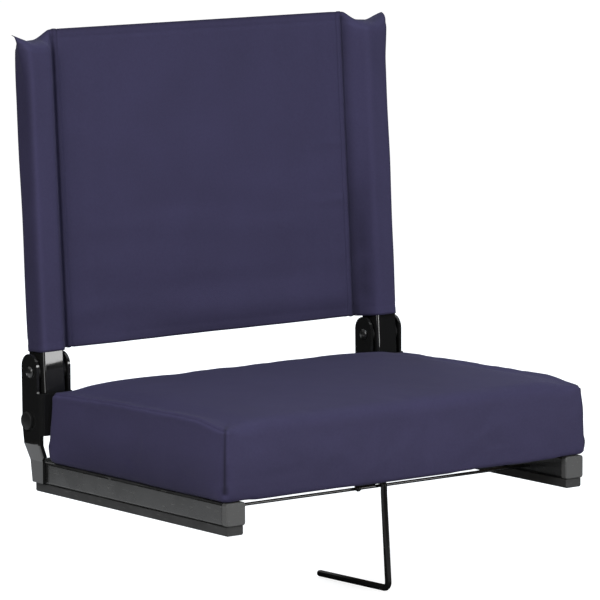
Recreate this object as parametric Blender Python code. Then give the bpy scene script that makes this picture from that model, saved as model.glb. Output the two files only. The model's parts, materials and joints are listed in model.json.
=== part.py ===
"""Folding bleacher seat: two rails on a bench, a padded seat, a folding back and a hook under the plank.

Metres, +Z up, the sitter faces -Y. The origin is on the bench, centred between the rails.
"""
import math

import bmesh
import bpy
from mathutils import Matrix, Vector

# Fits shared by mating pieces
GAP = 0.0003
BORE_CLEARANCE = 0.0004

# Square tubes of the rails and the back posts
TUBE = 0.0222
POST_TUBE = 0.0254
TUBE_WALL = 0.0015
TUBE_CORNER = 0.0028

# Rails, their end caps and foot strips
RAIL_SPACING = 0.410
RAIL_LENGTH = 0.3155
CAP_HEAD = 0.007
CAP_SPIGOT = 0.012
CAP_BEVEL = 0.001
FOOT_HEIGHT = 0.009
FOOT_INSET = 0.0015
FOOT_SETBACK = 0.002
FOOT_CHAMFER = 0.0012
FOOT_GROOVE_DEPTH = 0.0032
FOOT_GROOVE_END = 0.008

# Seat: board, foam and boxed cover
SEAT_THICKNESS = 0.070
SEAT_OVERHANG = 0.0021
SEAT_REAR_GAP = 0.0035
SEAT_FRONT_RISE = 0.005
SEAT_CROWN = 0.0035
SEAT_CORNER = 0.009
SEAT_EDGE = 0.005
SEAT_LOW_BULGE = 0.0025
SEAT_SIDE_DRAW = 0.0020
SEAT_CLOTH = 0.0016
SEAT_LIP = 0.010
BOARD_THICKNESS = 0.009
SCREW_DIAMETER = 0.004
SCREW_HEAD_DIAMETER = 0.008
SCREW_HEAD_HEIGHT = 0.0022
SCREW_BITE = 0.0065
SCREW_SPACING = 0.100

# Back hinge
PIVOT_ABOVE_SEAT = 0.017
PIVOT_SETBACK = 0.00975
PIVOT_DIAMETER = 0.008
PIVOT_HEAD_DIAMETER = 0.0115
PIVOT_HEAD_HEIGHT = 0.003
BACK_LEAN = math.radians(3.6)
SIDE_PLAY = 0.0042
WASHER_DIAMETER = 0.018

# Pressed hinge brackets
PLATE = 0.003
BEND_RADIUS = 0.0065
EAR_RADIUS = 0.013
EAR_REARWARD = 0.002
EAR_RISE = 0.0045
WEB_TOP_BELOW_PIVOT = 0.0195
WEB_BELOW_TUBE = 0.013
LEG_WIDTH = 0.018
LEG_FLANGE = 0.003
LEG_FLANGE_ABOVE_RAIL = 0.002
LEG_BEND_ABOVE_RAIL = 0.017
LEG_FOOT_LIFT = 0.001
WAIST_ABOVE_BEND = 0.017
WAIST_WIDTH = 0.0326

# Tube across the back of the brackets
CROSS_TUBE_DIAMETER = 0.0159
CROSS_TUBE_WALL = 0.0012
TAIL_TO_CROSS_TUBE = 0.004
CROSS_TUBE_SETBACK = 0.004
PLUG_RIM = 0.0009
PLUG_HEAD = 0.0042
PLUG_HEAD_EDGE = 0.0024
PLUG_SPIGOT = 0.012

# Back posts and the sleeved cover
POST_TAIL = 0.0335
POST_RISE = 0.308
POST_PLUG_HEAD = 0.003
BACK_CLOTH = 0.0013
COVER_HEM = 0.020
COVER_PANEL_OVER_POST = 0.021
COVER_DIP_OVER_POST = 0.012
COVER_EAR_OVER_POST = 0.019
SLEEVE_HEADROOM = 0.001
SLEEVE_FLAT_WIDTH = 0.0476
SEAM_FROM_POST = 0.0275
PANEL_SETBACK = 0.007
PANEL_THICKNESS = 0.004
SEAM_THICKNESS = 0.0022

# Cross rod and hook
ROD_DIAMETER = 0.0032
ROD_FROM_FRONT = 0.0649
ROD_ABOVE_RAIL = 0.0052
ROD_ENTRY = 0.004
HOOK_DIAMETER = 0.0065
HOOK_SADDLE = 0.0314
HOOK_WRAP = math.radians(160)
HOOK_END_ANGLE = math.radians(15)
HOOK_DROP = 0.0987
HOOK_LEAN = 0.0068
HOOK_REACH = 0.1075
HOOK_TIP_DROP = 0.0015
HOOK_BEND = 0.006

# Facets and smoothing
ROUND_SIDES = 24
SMALL_SIDES = 12
CORNER_STEPS = 4
SHADE_ANGLE = math.radians(35)
CUSHION_STEPS_X = 8
CUSHION_STEPS_Y = 6
CUSHION_CORNER_STEPS = 3
CUSHION_SIDE_STEPS = 5
CROWN_SHARES = (0.9, 0.72, 0.48, 0.24)
PANEL_SHARES = (0.96, 0.7, 0.35, 0, -0.35, -0.7, -0.96)
SLEEVE_SHARES = (0, 0.33, 0.66, 1)
CREST_SHARES = (0.35, 0.65, 0.85, 0.96, 1)
HOOK_BEND_STEPS = 6
HOOK_WRAP_STEPS = 24

# Places worked out from the sizes above
HALF_TUBE = TUBE / 2
HALF_POST = POST_TUBE / 2
RAIL_X = RAIL_SPACING / 2
RAIL_Z = FOOT_HEIGHT + HALF_TUBE
RAIL_TOP = FOOT_HEIGHT + TUBE
SEAT_BOTTOM = RAIL_TOP + GAP
SEAT_TOP = SEAT_BOTTOM + SEAT_THICKNESS
PIVOT_Y = RAIL_LENGTH / 2 - PIVOT_SETBACK
PIVOT_Z = SEAT_TOP + PIVOT_ABOVE_SEAT
EAR_INNER = HALF_POST + SIDE_PLAY
EAR_OUTER = EAR_INNER + PLATE
WEB_BACK = PIVOT_Y - HALF_POST * math.cos(BACK_LEAN) - POST_TAIL * math.sin(BACK_LEAN) - GAP
WEB_FRONT = WEB_BACK - PLATE
CROSS_TUBE_Y = PIVOT_Y + CROSS_TUBE_SETBACK
TAIL_SWEEP = math.hypot(POST_TAIL, HALF_POST)
CROSS_TUBE_Z = PIVOT_Z - TAIL_SWEEP - TAIL_TO_CROSS_TUBE - CROSS_TUBE_DIAMETER / 2
SEAT_HALF_X = RAIL_X + HALF_TUBE + SEAT_OVERHANG
SEAT_FRONT = -RAIL_LENGTH / 2
SEAT_REAR = WEB_FRONT - SEAT_REAR_GAP
SEAT_HALF_Y = (SEAT_REAR - SEAT_FRONT) / 2
SEAT_Y = (SEAT_REAR + SEAT_FRONT) / 2
BOARD_BOTTOM = SEAT_BOTTOM + SEAT_CLOTH + GAP
BOARD_TOP = BOARD_BOTTOM + BOARD_THICKNESS
ROD_Y = -RAIL_LENGTH / 2 + ROD_FROM_FRONT
ROD_Z = FOOT_HEIGHT + ROD_ABOVE_RAIL
COVER_PANEL_RISE = POST_RISE + COVER_PANEL_OVER_POST
COVER_DIP_RISE = POST_RISE + COVER_DIP_OVER_POST
COVER_EAR_RISE = POST_RISE + COVER_EAR_OVER_POST


def clear_scene():
    """Remove every object that the file starts with."""
    for obj in list(bpy.data.objects):
        bpy.data.objects.remove(obj)


def material(name, colour, roughness, metallic=0.0):
    """A plain Principled material in linear colour."""
    made = bpy.data.materials.new(name)
    made.use_nodes = True
    shader = made.node_tree.nodes["Principled BSDF"]
    shader.inputs["Base Color"].default_value = (*colour, 1.0)
    shader.inputs["Roughness"].default_value = roughness
    shader.inputs["Metallic"].default_value = metallic
    return made


def place(name, bm, finish, location=(0, 0, 0), parent=None):
    """Turn a bmesh into a named, smooth-shaded object facing outward."""
    bmesh.ops.recalc_face_normals(bm, faces=bm.faces)
    if bm.calc_volume(signed=True) < 0:
        bmesh.ops.reverse_faces(bm, faces=bm.faces)
    mesh = bpy.data.meshes.new(name)
    bm.to_mesh(mesh)
    bm.free()
    mesh.materials.append(finish)
    mesh.shade_smooth()
    mesh.set_sharp_from_angle(angle=SHADE_ANGLE)
    obj = bpy.data.objects.new(name, mesh)
    obj.location = location
    obj.parent = parent
    bpy.context.scene.collection.objects.link(obj)
    return obj


def pivot_empty(name, location, lean=0.0):
    """An empty on a joint's axis, which carries the pieces that turn there."""
    empty = bpy.data.objects.new(name, None)
    empty.location = location
    empty.rotation_euler = (-lean, 0, 0)
    bpy.context.scene.collection.objects.link(empty)
    return empty


def combine(obj, cutter, operation):
    """Apply one exact Boolean to an object that stands at the origin, and drop the cutter."""
    change = obj.modifiers.new(operation.lower(), "BOOLEAN")
    change.operation = operation
    change.solver = "EXACT"
    change.object = cutter
    bpy.context.view_layer.update()
    graph = bpy.context.evaluated_depsgraph_get()
    shaped = bpy.data.meshes.new_from_object(obj.evaluated_get(graph))
    obj.modifiers.clear()
    obj.data = shaped
    shaped.set_sharp_from_angle(angle=SHADE_ANGLE)
    bpy.data.objects.remove(cutter)


def loft(rings, closed=False, bm=None):
    """Skin rings of equal count; a ring of one point closes to a tip, and open ends are capped."""
    bm = bm or bmesh.new()
    made = [[bm.verts.new(point) for point in ring] for ring in rings]
    pairs = list(zip(made, made[1:]))
    if closed:
        pairs.append((made[-1], made[0]))
    for first, second in pairs:
        count = max(len(first), len(second))
        for i in range(count):
            j = (i + 1) % count
            corners = [first[i % len(first)], first[j % len(first)]]
            corners += [second[j % len(second)], second[i % len(second)]]
            bm.faces.new(list(dict.fromkeys(corners)))
    for end in (made[0], made[-1]):
        if not closed and len(end) > 2:
            bm.faces.new(end)
    return bm


def rounded_box_outline(half_x, half_y, radius, steps=CORNER_STEPS):
    """Points of a rectangle with round corners, anticlockwise."""
    points = []
    for quarter in range(4):
        turn = quarter * math.pi / 2
        sign_x = 1 if quarter in (0, 3) else -1
        sign_y = 1 if quarter in (0, 1) else -1
        for step in range(steps + 1):
            angle = turn + step / steps * math.pi / 2
            x = sign_x * (half_x - radius) + radius * math.cos(angle)
            y = sign_y * (half_y - radius) + radius * math.sin(angle)
            points.append((x, y))
    return points


def turned(profile, sides=ROUND_SIDES):
    """Revolve (distance along X, radius) points about the X axis; a radius of 0 is a tip."""
    rings = []
    for along, radius in profile:
        if radius == 0:
            rings.append([Vector((along, 0, 0))])
            continue
        angles = [2 * math.pi * i / sides for i in range(sides)]
        rings.append([Vector((along, radius * math.cos(a), radius * math.sin(a))) for a in angles])
    return rings


def dome(start, radius, height, steps=4):
    """Profile points of a low domed head that rises from a rim of this radius."""
    points = []
    for step in range(steps + 1):
        angle = step / steps * math.pi / 2
        rim = 0 if step == steps else radius * math.cos(angle)
        points.append((start + height * math.sin(angle), rim))
    return points


def rod_cutter(radius, start, end):
    """A temporary cylinder from one point to another, for drilling."""
    line = Vector(end) - Vector(start)
    bm = loft(turned([(0, radius), (line.length, radius)], SMALL_SIDES * 2))
    turn = Vector((1, 0, 0)).rotation_difference(line).to_matrix().to_4x4()
    bm.transform(Matrix.Translation(start) @ turn)
    return bm


def drill(obj, holes):
    """Cut round holes, each (radius, start, end), in an object that stands at the origin."""
    for radius, start, end in holes:
        cutter = place("drill", rod_cutter(radius, start, end), obj.data.materials[0])
        combine(obj, cutter, "DIFFERENCE")


def square_tube(half, length):
    """Rings of a hollow square tube along Z from 0, open at both ends."""
    outer = rounded_box_outline(half, half, TUBE_CORNER)
    bore = half - TUBE_WALL
    inner = rounded_box_outline(bore, bore, TUBE_CORNER - TUBE_WALL)
    levels = [(outer, 0), (outer, length), (inner, length), (inner, 0)]
    return [[Vector((x, y, z)) for x, y in outline] for outline, z in levels]


def square_plug(half, head, spigot):
    """Rings of a plug for the square tube: head above Z = 0, spigot below it."""
    fit = half - TUBE_WALL - GAP
    corner = max(TUBE_CORNER - TUBE_WALL - GAP, GAP)
    levels = [(fit - CAP_BEVEL, corner, -spigot), (fit, corner, CAP_BEVEL - spigot), (fit, corner, 0)]
    levels += [(half, TUBE_CORNER, 0), (half, TUBE_CORNER, head - CAP_BEVEL)]
    levels += [(half - CAP_BEVEL, TUBE_CORNER, head)]
    return [[Vector((x, y, z)) for x, y in rounded_box_outline(side, side, r)] for side, r, z in levels]


def make_rail(side, name, finish):
    """One rail tube, drilled for the cross rod on its inner wall and for the seat screws."""
    length = RAIL_LENGTH - 2 * (CAP_HEAD + GAP)
    bm = loft(square_tube(HALF_TUBE, length), closed=True)
    bm.transform(Matrix.Rotation(-math.pi / 2, 4, "X") @ Matrix.Translation((0, 0, -length / 2)))
    rail = place(name, bm, finish)
    holes = [(ROD_DIAMETER / 2 + GAP, (0, ROD_Y, ROD_Z - RAIL_Z), (-side * TUBE, ROD_Y, ROD_Z - RAIL_Z))]
    for y in screw_places():
        holes.append((SCREW_DIAMETER / 2 + GAP, (0, y, -TUBE), (0, y, TUBE)))
    drill(rail, holes)
    rail.location = (side * RAIL_X, 0, RAIL_Z)


def make_cap(name, finish, side, end):
    """One end cap of a rail; end is -1 at the front and 1 at the rear."""
    bm = loft(square_plug(HALF_TUBE, CAP_HEAD, CAP_SPIGOT))
    bm.transform(Matrix.Rotation(-end * math.pi / 2, 4, "X"))
    place(name, bm, finish, (side * RAIL_X, end * (RAIL_LENGTH / 2 - CAP_HEAD), RAIL_Z))


def make_foot_strip(name, finish, side):
    """One strip under a rail, with a groove on top for the screw heads that stops short of its ends."""
    half = HALF_TUBE - FOOT_INSET
    top = FOOT_HEIGHT - GAP
    reach = RAIL_LENGTH / 2 - FOOT_SETBACK
    right = [(half - FOOT_CHAMFER, 0), (half, FOOT_CHAMFER), (half, top)]
    section = right + [(-x, z) for x, z in reversed(right)]
    strip = place(name, loft([[Vector((x, y, z)) for x, z in section] for y in (-reach, reach)]), finish)
    groove = SCREW_HEAD_DIAMETER / 2 + 2 * GAP
    floor = top - FOOT_GROOVE_DEPTH
    ends = reach - FOOT_GROOVE_END
    slot = [(-groove, floor), (groove, floor), (groove, FOOT_HEIGHT), (-groove, FOOT_HEIGHT)]
    cutter = loft([[Vector((x, y, z)) for x, z in slot] for y in (-ends, ends)])
    combine(strip, place("groove", cutter, finish), "DIFFERENCE")
    strip.location.x = side * RAIL_X


def bend_points(side_x, front_y, radius):
    """Points round a bend from a plate's side face to its front face."""
    points = []
    for step in range(CORNER_STEPS + 1):
        angle = step / CORNER_STEPS * math.pi / 2
        x = side_x - radius * (1 - math.cos(angle))
        y = front_y + radius * (1 - math.sin(angle))
        points.append((x, y))
    return points


def bracket_plan():
    """Plan outline of the bracket: a U of plate, open to the rear, with round bends."""
    rear = PIVOT_Y + EAR_REARWARD + EAR_RADIUS + PLATE
    outer = [(EAR_OUTER, rear)] + bend_points(EAR_OUTER, WEB_FRONT, BEND_RADIUS)
    inner = [(EAR_INNER, rear)] + bend_points(EAR_INNER, WEB_BACK, BEND_RADIUS - PLATE)
    outer_loop = outer + [(-x, y) for x, y in reversed(outer)]
    inner_loop = [(-x, y) for x, y in inner] + list(reversed(inner))
    return outer_loop + inner_loop


def bracket_side():
    """Side outline of the bracket, as (Y, Z): a leg on the rail, its flange, the web zone and a round ear."""
    foot = FOOT_HEIGHT + LEG_FOOT_LIFT
    leg_front = WEB_FRONT + BEND_RADIUS
    flange_front = leg_front - LEG_FLANGE
    flange_low = RAIL_TOP + LEG_FLANGE_ABOVE_RAIL
    web_low = CROSS_TUBE_Z - WEB_BELOW_TUBE
    web_high = PIVOT_Z - WEB_TOP_BELOW_PIVOT
    ahead = WEB_FRONT - PLATE
    ear_y = PIVOT_Y + EAR_REARWARD
    ear_z = PIVOT_Z + EAR_RISE
    waist = RAIL_TOP + LEG_BEND_ABOVE_RAIL + WAIST_ABOVE_BEND
    outline = [(leg_front + LEG_WIDTH, foot), (leg_front, foot), (leg_front, flange_low)]
    outline += [(flange_front, flange_low + LEG_FLANGE), (flange_front, web_low), (ahead, web_low)]
    outline += [(ahead, web_high), (ear_y - EAR_RADIUS, web_high)]
    ear_steps = 3 * CORNER_STEPS
    for step in range(ear_steps + 1):
        angle = math.pi * (1 - step / ear_steps)
        outline.append((ear_y + EAR_RADIUS * math.cos(angle), ear_z + EAR_RADIUS * math.sin(angle)))
    outline.append((WEB_FRONT + WAIST_WIDTH, waist))
    return outline


def make_bracket(name, finish, side):
    """One pressed bracket: bent plate trimmed to its side outline, drilled, its legs joggled in to the rail."""
    top = PIVOT_Z + EAR_RISE + 2 * EAR_RADIUS
    bent_plate = loft([[Vector((x, y, z)) for x, y in bracket_plan()] for z in (0, top)])
    bracket = place(name, bent_plate, finish)
    wide = EAR_OUTER + PLATE
    side_slab = loft([[Vector((x, y, z)) for y, z in bracket_side()] for x in (-wide, wide)])
    combine(bracket, place("side_slab", side_slab, finish), "INTERSECT")
    bores = [(PIVOT_DIAMETER / 2 + GAP, PIVOT_Y, PIVOT_Z)]
    bores.append((CROSS_TUBE_DIAMETER / 2 + GAP, CROSS_TUBE_Y, CROSS_TUBE_Z))
    drill(bracket, [(radius, (-wide, y, z), (wide, y, z)) for radius, y, z in bores])
    bend = RAIL_TOP + LEG_BEND_ABOVE_RAIL
    landing = RAIL_TOP + GAP
    bm = bmesh.new()
    bm.from_mesh(bracket.data)
    for height in (bend, landing):
        everything = bm.verts[:] + bm.edges[:] + bm.faces[:]
        bmesh.ops.bisect_plane(bm, geom=everything, plane_co=(0, 0, height), plane_no=(0, 0, 1))
    for vert in bm.verts:
        if vert.co.z < bend:
            share = min((bend - vert.co.z) / (bend - landing), 1)
            vert.co.x -= math.copysign(share * (EAR_INNER - HALF_TUBE - GAP), vert.co.x)
    bm.to_mesh(bracket.data)
    bm.free()
    bracket.location.x = side * RAIL_X


def make_pivot(names, finishes, side):
    """The rivet of one post and the two washers beside the post."""
    grip = EAR_OUTER + GAP
    half = [(0, PIVOT_DIAMETER / 2), (grip, PIVOT_DIAMETER / 2)]
    half += dome(grip, PIVOT_HEAD_DIAMETER / 2, PIVOT_HEAD_HEIGHT)
    profile = [(-along, radius) for along, radius in reversed(half)] + half[1:]
    place(names[0], loft(turned(profile)), finishes[0], (side * RAIL_X, PIVOT_Y, PIVOT_Z))
    bore = PIVOT_DIAMETER / 2 + GAP
    rim = WASHER_DIAMETER / 2
    section = [(GAP, bore), (GAP, rim), (SIDE_PLAY - GAP, rim), (SIDE_PLAY - GAP, bore)]
    for name, outward in zip(names[1:], (side, -side)):
        start = HALF_POST if outward > 0 else -HALF_POST - SIDE_PLAY
        washer = loft(turned(section), closed=True)
        place(name, washer, finishes[1], (side * RAIL_X + start, PIVOT_Y, PIVOT_Z))


def make_cross_tube(name, plug_names, finish, plug_finish):
    """The tube between the brackets and the plug in each of its ends."""
    reach = RAIL_X + EAR_OUTER
    outer = CROSS_TUBE_DIAMETER / 2
    bore = outer - CROSS_TUBE_WALL
    tube = [(-reach, outer), (reach, outer), (reach, bore), (-reach, bore)]
    place(name, loft(turned(tube), closed=True), finish, (0, CROSS_TUBE_Y, CROSS_TUBE_Z))
    head = [(-PLUG_SPIGOT, 0), (-PLUG_SPIGOT, bore - GAP), (GAP, bore - GAP)]
    rim = outer + PLUG_RIM
    head += [(GAP, rim)] + dome(GAP + PLUG_HEAD_EDGE, rim, PLUG_HEAD - PLUG_HEAD_EDGE)
    for plug_name, side in zip(plug_names, (-1, 1)):
        bm = loft(turned(head))
        if side < 0:
            bm.transform(Matrix.Rotation(math.pi, 4, "Z"))
        place(plug_name, bm, plug_finish, (side * reach, CROSS_TUBE_Y, CROSS_TUBE_Z))


def make_post(name, plug_names, finish, plug_finish, side, pivot):
    """One back post, upright about the pivot, with its bore and its top and tail plugs."""
    low = -POST_TAIL + POST_PLUG_HEAD + GAP
    high = POST_RISE - POST_PLUG_HEAD - GAP
    post = place(name, loft(square_tube(HALF_POST, high - low), closed=True), finish)
    bore = PIVOT_DIAMETER / 2 + BORE_CLEARANCE
    drill(post, [(bore, (-POST_TUBE, 0, -low), (POST_TUBE, 0, -low))])
    post.location = (side * RAIL_X, 0, low)
    post.parent = pivot
    for plug_name, z, turn in zip(plug_names, (high + GAP, low - GAP), (0, math.pi)):
        bm = loft(square_plug(HALF_POST, POST_PLUG_HEAD, CAP_SPIGOT))
        bm.transform(Matrix.Rotation(turn, 4, "X"))
        place(plug_name, bm, plug_finish, (side * RAIL_X, 0, z), pivot)


def sleeve_path():
    """Half section of a sleeve from seam to seam, front to back, as (outward X from the post, Y)."""
    reach = HALF_POST + GAP + BACK_CLOTH
    corner = TUBE_CORNER + GAP + BACK_CLOTH
    seam = -SEAM_FROM_POST
    front = PANEL_SETBACK - SEAM_THICKNESS / 2
    back = PANEL_SETBACK + SEAM_THICKNESS / 2
    box = rounded_box_outline(reach, reach, corner)
    per_corner = CORNER_STEPS + 1
    front_inner = box[2 * per_corner + 1:3 * per_corner]
    front_outer = box[3 * per_corner:]
    back_outer = box[:per_corner]
    back_inner = box[per_corner:2 * per_corner - 1]
    front_half = [(seam, front)] + front_inner + front_outer
    back_half = back_outer + back_inner + [(seam, back)]
    return front_half + [(reach, 0)] + back_half


def inset_path(path, distance):
    """Move an open path inward by its vertex normals, keeping its point count."""
    moved = []
    for i, point in enumerate(path):
        here = Vector(point)
        before = Vector(path[max(i - 1, 0)])
        after = Vector(path[min(i + 1, len(path) - 1)])
        incoming = (here - before).normalized()
        outgoing = (after - here).normalized()
        tangent = (incoming + outgoing).normalized()
        lean = max((incoming or outgoing).dot(tangent), 0.5)
        moved.append(here + Vector((-tangent.y, tangent.x)) * distance / lean)
    return moved


def cover_top(x):
    """Height of the cover's top edge: level over the panel, dipped over a post, up again at the corner."""
    outward = abs(x) - RAIL_X
    if outward <= -SEAM_FROM_POST:
        return COVER_PANEL_RISE
    if outward <= 0:
        ease = (1 + math.cos(math.pi * (1 + outward / SEAM_FROM_POST))) / 2
        return COVER_DIP_RISE + (COVER_PANEL_RISE - COVER_DIP_RISE) * ease
    ease = outward / (SLEEVE_FLAT_WIDTH - SEAM_FROM_POST)
    return COVER_DIP_RISE + (COVER_EAR_RISE - COVER_DIP_RISE) * ease ** 2


def cover_section():
    """The whole section of the cover as a closed loop of (wrapped, flat) positions, and the sleeve points."""
    path = sleeve_path()
    lengths = [0.0]
    for first, second in zip(path, path[1:]):
        lengths.append(lengths[-1] + (Vector(second) - Vector(first)).length)
    half_way = lengths[len(path) // 2]
    right = []
    for (x, y), run in zip(path, lengths):
        share = run / half_way
        layer = -SEAM_THICKNESS / 2
        if run == half_way:
            layer = 0
        elif run > half_way:
            share = (lengths[-1] - run) / (lengths[-1] - half_way)
            layer = SEAM_THICKNESS / 2
        flat = (RAIL_X + SLEEVE_FLAT_WIDTH * share - SEAM_FROM_POST, PANEL_SETBACK + layer)
        right.append(((RAIL_X + x, y), flat))
    panel_edge = RAIL_X - SEAM_FROM_POST
    back_panel = []
    for share in PANEL_SHARES:
        back_panel.append((share * panel_edge, PANEL_SETBACK + PANEL_THICKNESS / 2))
    left = [((-wrapped[0], wrapped[1]), (-flat[0], flat[1])) for wrapped, flat in reversed(right)]
    front_panel = [(-x, 2 * PANEL_SETBACK - y) for x, y in back_panel]
    loop = right + [(p, p) for p in back_panel] + left + [(p, p) for p in front_panel]
    return loop, len(right), len(back_panel)


def cover_ring(loop, height_share, crown_share):
    """One ring of the cover: straight up to the sleeve tops, then drawn flat towards the top edge."""
    shoulder = POST_RISE + SLEEVE_HEADROOM
    wrap = math.sqrt(max(1 - crown_share ** 2, 0))
    ring = []
    for wrapped, flat in loop:
        x = wrap * wrapped[0] + (1 - wrap) * flat[0]
        y = wrap * wrapped[1] + (1 - wrap) * flat[1]
        z = COVER_HEM + (shoulder - COVER_HEM) * height_share
        z += (cover_top(flat[0]) - shoulder) * crown_share
        ring.append(Vector((x, y, z)))
    return ring


def make_back_cover(name, finish, pivot):
    """The sewn cover: panel, two sleeves open at the hem, and flat corners at the top."""
    loop, sleeve_count, panel_count = cover_section()
    levels = [(share, 0) for share in SLEEVE_SHARES] + [(1, share) for share in CREST_SHARES]
    bm = bmesh.new()
    rings = [[bm.verts.new(p) for p in cover_ring(loop, *level)] for level in levels]
    count = len(loop)
    for lower, upper in zip(rings, rings[1:]):
        for i in range(count):
            j = (i + 1) % count
            bm.faces.new((lower[i], lower[j], upper[j], upper[i]))
    hem = rings[0]
    crest = rings[-1]
    second = sleeve_count + panel_count
    pockets = []
    for start, mirror in ((0, 1), (second, -1)):
        path = sleeve_path() if mirror > 0 else [(-x, y) for x, y in reversed(sleeve_path())]
        inner = inset_path(path, BACK_CLOTH)
        walls = []
        for z in (COVER_HEM, POST_RISE + SLEEVE_HEADROOM - BACK_CLOTH / 2):
            walls.append([bm.verts.new((mirror * RAIL_X + p.x, p.y, z)) for p in inner])
        pockets.append((start, walls))
    for start, (low, high) in pockets:
        for i in range(sleeve_count - 1):
            bm.faces.new((hem[start + i], hem[start + i + 1], low[i + 1], low[i]))
            bm.faces.new((low[i], low[i + 1], high[i + 1], high[i]))
        last = sleeve_count - 1
        bm.faces.new((hem[start], hem[start + last], low[last], low[0]))
        bm.faces.new((low[0], low[last], high[last], high[0]))
        bm.faces.new(high)
    for ring in (hem, crest):
        near = [ring[sleeve_count - 1]] + ring[sleeve_count:second] + [ring[second]]
        far = [ring[0]] + ring[:second + sleeve_count - 1:-1] + [ring[second + sleeve_count - 1]]
        for i in range(panel_count + 1):
            bm.faces.new((near[i], near[i + 1], far[i + 1], far[i]))
    for start in (0, second):
        half = sleeve_count // 2
        for i in range(half):
            a, b = crest[start + i], crest[start + i + 1]
            c, d = crest[start + sleeve_count - 2 - i], crest[start + sleeve_count - 1 - i]
            bm.faces.new(list(dict.fromkeys((a, b, c, d))))
    place(name, bm, finish, parent=pivot)


def screw_places():
    """Places of the seat screws along a rail."""
    return [SEAT_Y + step * SCREW_SPACING for step in (-1, 0, 1)]


def make_board(name, finish):
    """The plywood board, with rounded corners and blind holes for the screws."""
    shrink = SEAT_CLOTH + SEAT_SIDE_DRAW + 2 * GAP
    outline = rounded_box_outline(SEAT_HALF_X - shrink, SEAT_HALF_Y - shrink, SEAT_CORNER)
    slab = loft([[Vector((x, y, z)) for x, y in outline] for z in (0, BOARD_THICKNESS)])
    board = place(name, slab, finish)
    depth = SCREW_BITE + 2 * GAP
    holes = []
    for x in (-RAIL_X, RAIL_X):
        for y in screw_places():
            holes.append((SCREW_DIAMETER / 2 + GAP, (x, y - SEAT_Y, -GAP), (x, y - SEAT_Y, depth)))
    drill(board, holes)
    board.location = (0, SEAT_Y, BOARD_BOTTOM)


def make_screws(names, finish, side):
    """The seat screws of one rail: heads under the rail, tips in the board."""
    head_top = FOOT_HEIGHT - GAP
    tip = BOARD_BOTTOM + SCREW_BITE
    shank = SCREW_DIAMETER / 2
    rim = SCREW_HEAD_DIAMETER / 2
    low = head_top - SCREW_HEAD_HEIGHT
    chamfer = SCREW_HEAD_HEIGHT / 3
    profile = [(low, 0), (low, rim - chamfer), (low + chamfer, rim), (head_top, rim)]
    profile += [(head_top, shank), (tip - shank, shank), (tip, 0)]
    for name, y in zip(names, screw_places()):
        bm = loft(turned(profile, SMALL_SIDES))
        bm.transform(Matrix.Rotation(-math.pi / 2, 4, "Y"))
        place(name, bm, finish, (side * RAIL_X, y, 0))


def cushion_outline():
    """Plan of the cushion as (X, Y, outward normal, share of the side's inward draw)."""
    points = []
    flat_x = SEAT_HALF_X - SEAT_CORNER
    flat_y = SEAT_HALF_Y - SEAT_CORNER
    sides = [(1, 0, flat_y, CUSHION_STEPS_Y), (0, 1, flat_x, CUSHION_STEPS_X)]
    sides += [(-1, 0, flat_y, CUSHION_STEPS_Y), (0, -1, flat_x, CUSHION_STEPS_X)]
    for quarter, (normal_x, normal_y, flat, steps) in enumerate(sides):
        for step in range(steps):
            share = 2 * step / steps - 1
            x = normal_x * SEAT_HALF_X - normal_y * flat * share
            y = normal_y * SEAT_HALF_Y + normal_x * flat * share
            points.append((x, y, normal_x, normal_y, 1 - share ** 2))
        start = quarter * math.pi / 2
        centre_x = normal_x * flat_x - normal_y * flat_x
        centre_y = normal_y * flat_y + normal_x * flat_y
        for step in range(CUSHION_CORNER_STEPS):
            angle = start + step / CUSHION_CORNER_STEPS * math.pi / 2
            x = centre_x + SEAT_CORNER * math.cos(angle)
            y = centre_y + SEAT_CORNER * math.sin(angle)
            points.append((x, y, math.cos(angle), math.sin(angle), 0))
    return points


def cushion_ring(height_share, inset, lift=0.0):
    """One ring round the cushion's side, set in from the cover's outside by an inset."""
    highest = 4 / 27
    bulge = SEAT_LOW_BULGE * height_share * (1 - height_share) ** 2 / highest
    ring = []
    for x, y, normal_x, normal_y, side in cushion_outline():
        draw = SEAT_SIDE_DRAW * side * (1 + math.sin(math.pi * height_share)) / 2
        out = bulge - draw - inset
        top = SEAT_TOP - SEAT_FRONT_RISE * y / (2 * SEAT_HALF_Y)
        z = SEAT_BOTTOM + (top - SEAT_BOTTOM) * height_share + lift
        ring.append(Vector((x + normal_x * out, SEAT_Y + y + normal_y * out, z)))
    return ring


def cushion_crown(rim):
    """Rings that close the top of the cushion over its rim, rising to the crown, and the centre point."""
    rings = []
    middle = Vector((0, SEAT_Y, sum(point.z for point in rim) / len(rim)))
    for share in CROWN_SHARES:
        ring = []
        for point in rim:
            raised = middle.lerp(point, share)
            across = (raised.x - middle.x) / SEAT_HALF_X
            along = (raised.y - middle.y) / SEAT_HALF_Y
            raised.z += SEAT_CROWN * (1 - across ** 2) * (1 - along ** 2)
            ring.append(raised)
        rings.append(ring)
    rings.append([middle + Vector((0, 0, SEAT_CROWN))])
    return rings


def cushion_skin(inset, start_share):
    """Rings of the cushion from a height share up over its soft top edge to the crown."""
    climb = 1 - SEAT_EDGE / SEAT_THICKNESS - start_share
    rings = []
    for step in range(CUSHION_SIDE_STEPS + 1):
        rings.append(cushion_ring(start_share + climb * step / CUSHION_SIDE_STEPS, inset))
    edge = max(SEAT_EDGE - inset, GAP)
    half_turn = edge * (1 - math.cos(math.pi / 4))
    rings.append(cushion_ring(1, inset + half_turn, -inset - half_turn))
    rim = cushion_ring(1, inset + edge, -inset)
    return rings + [rim] + cushion_crown(rim)


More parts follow.
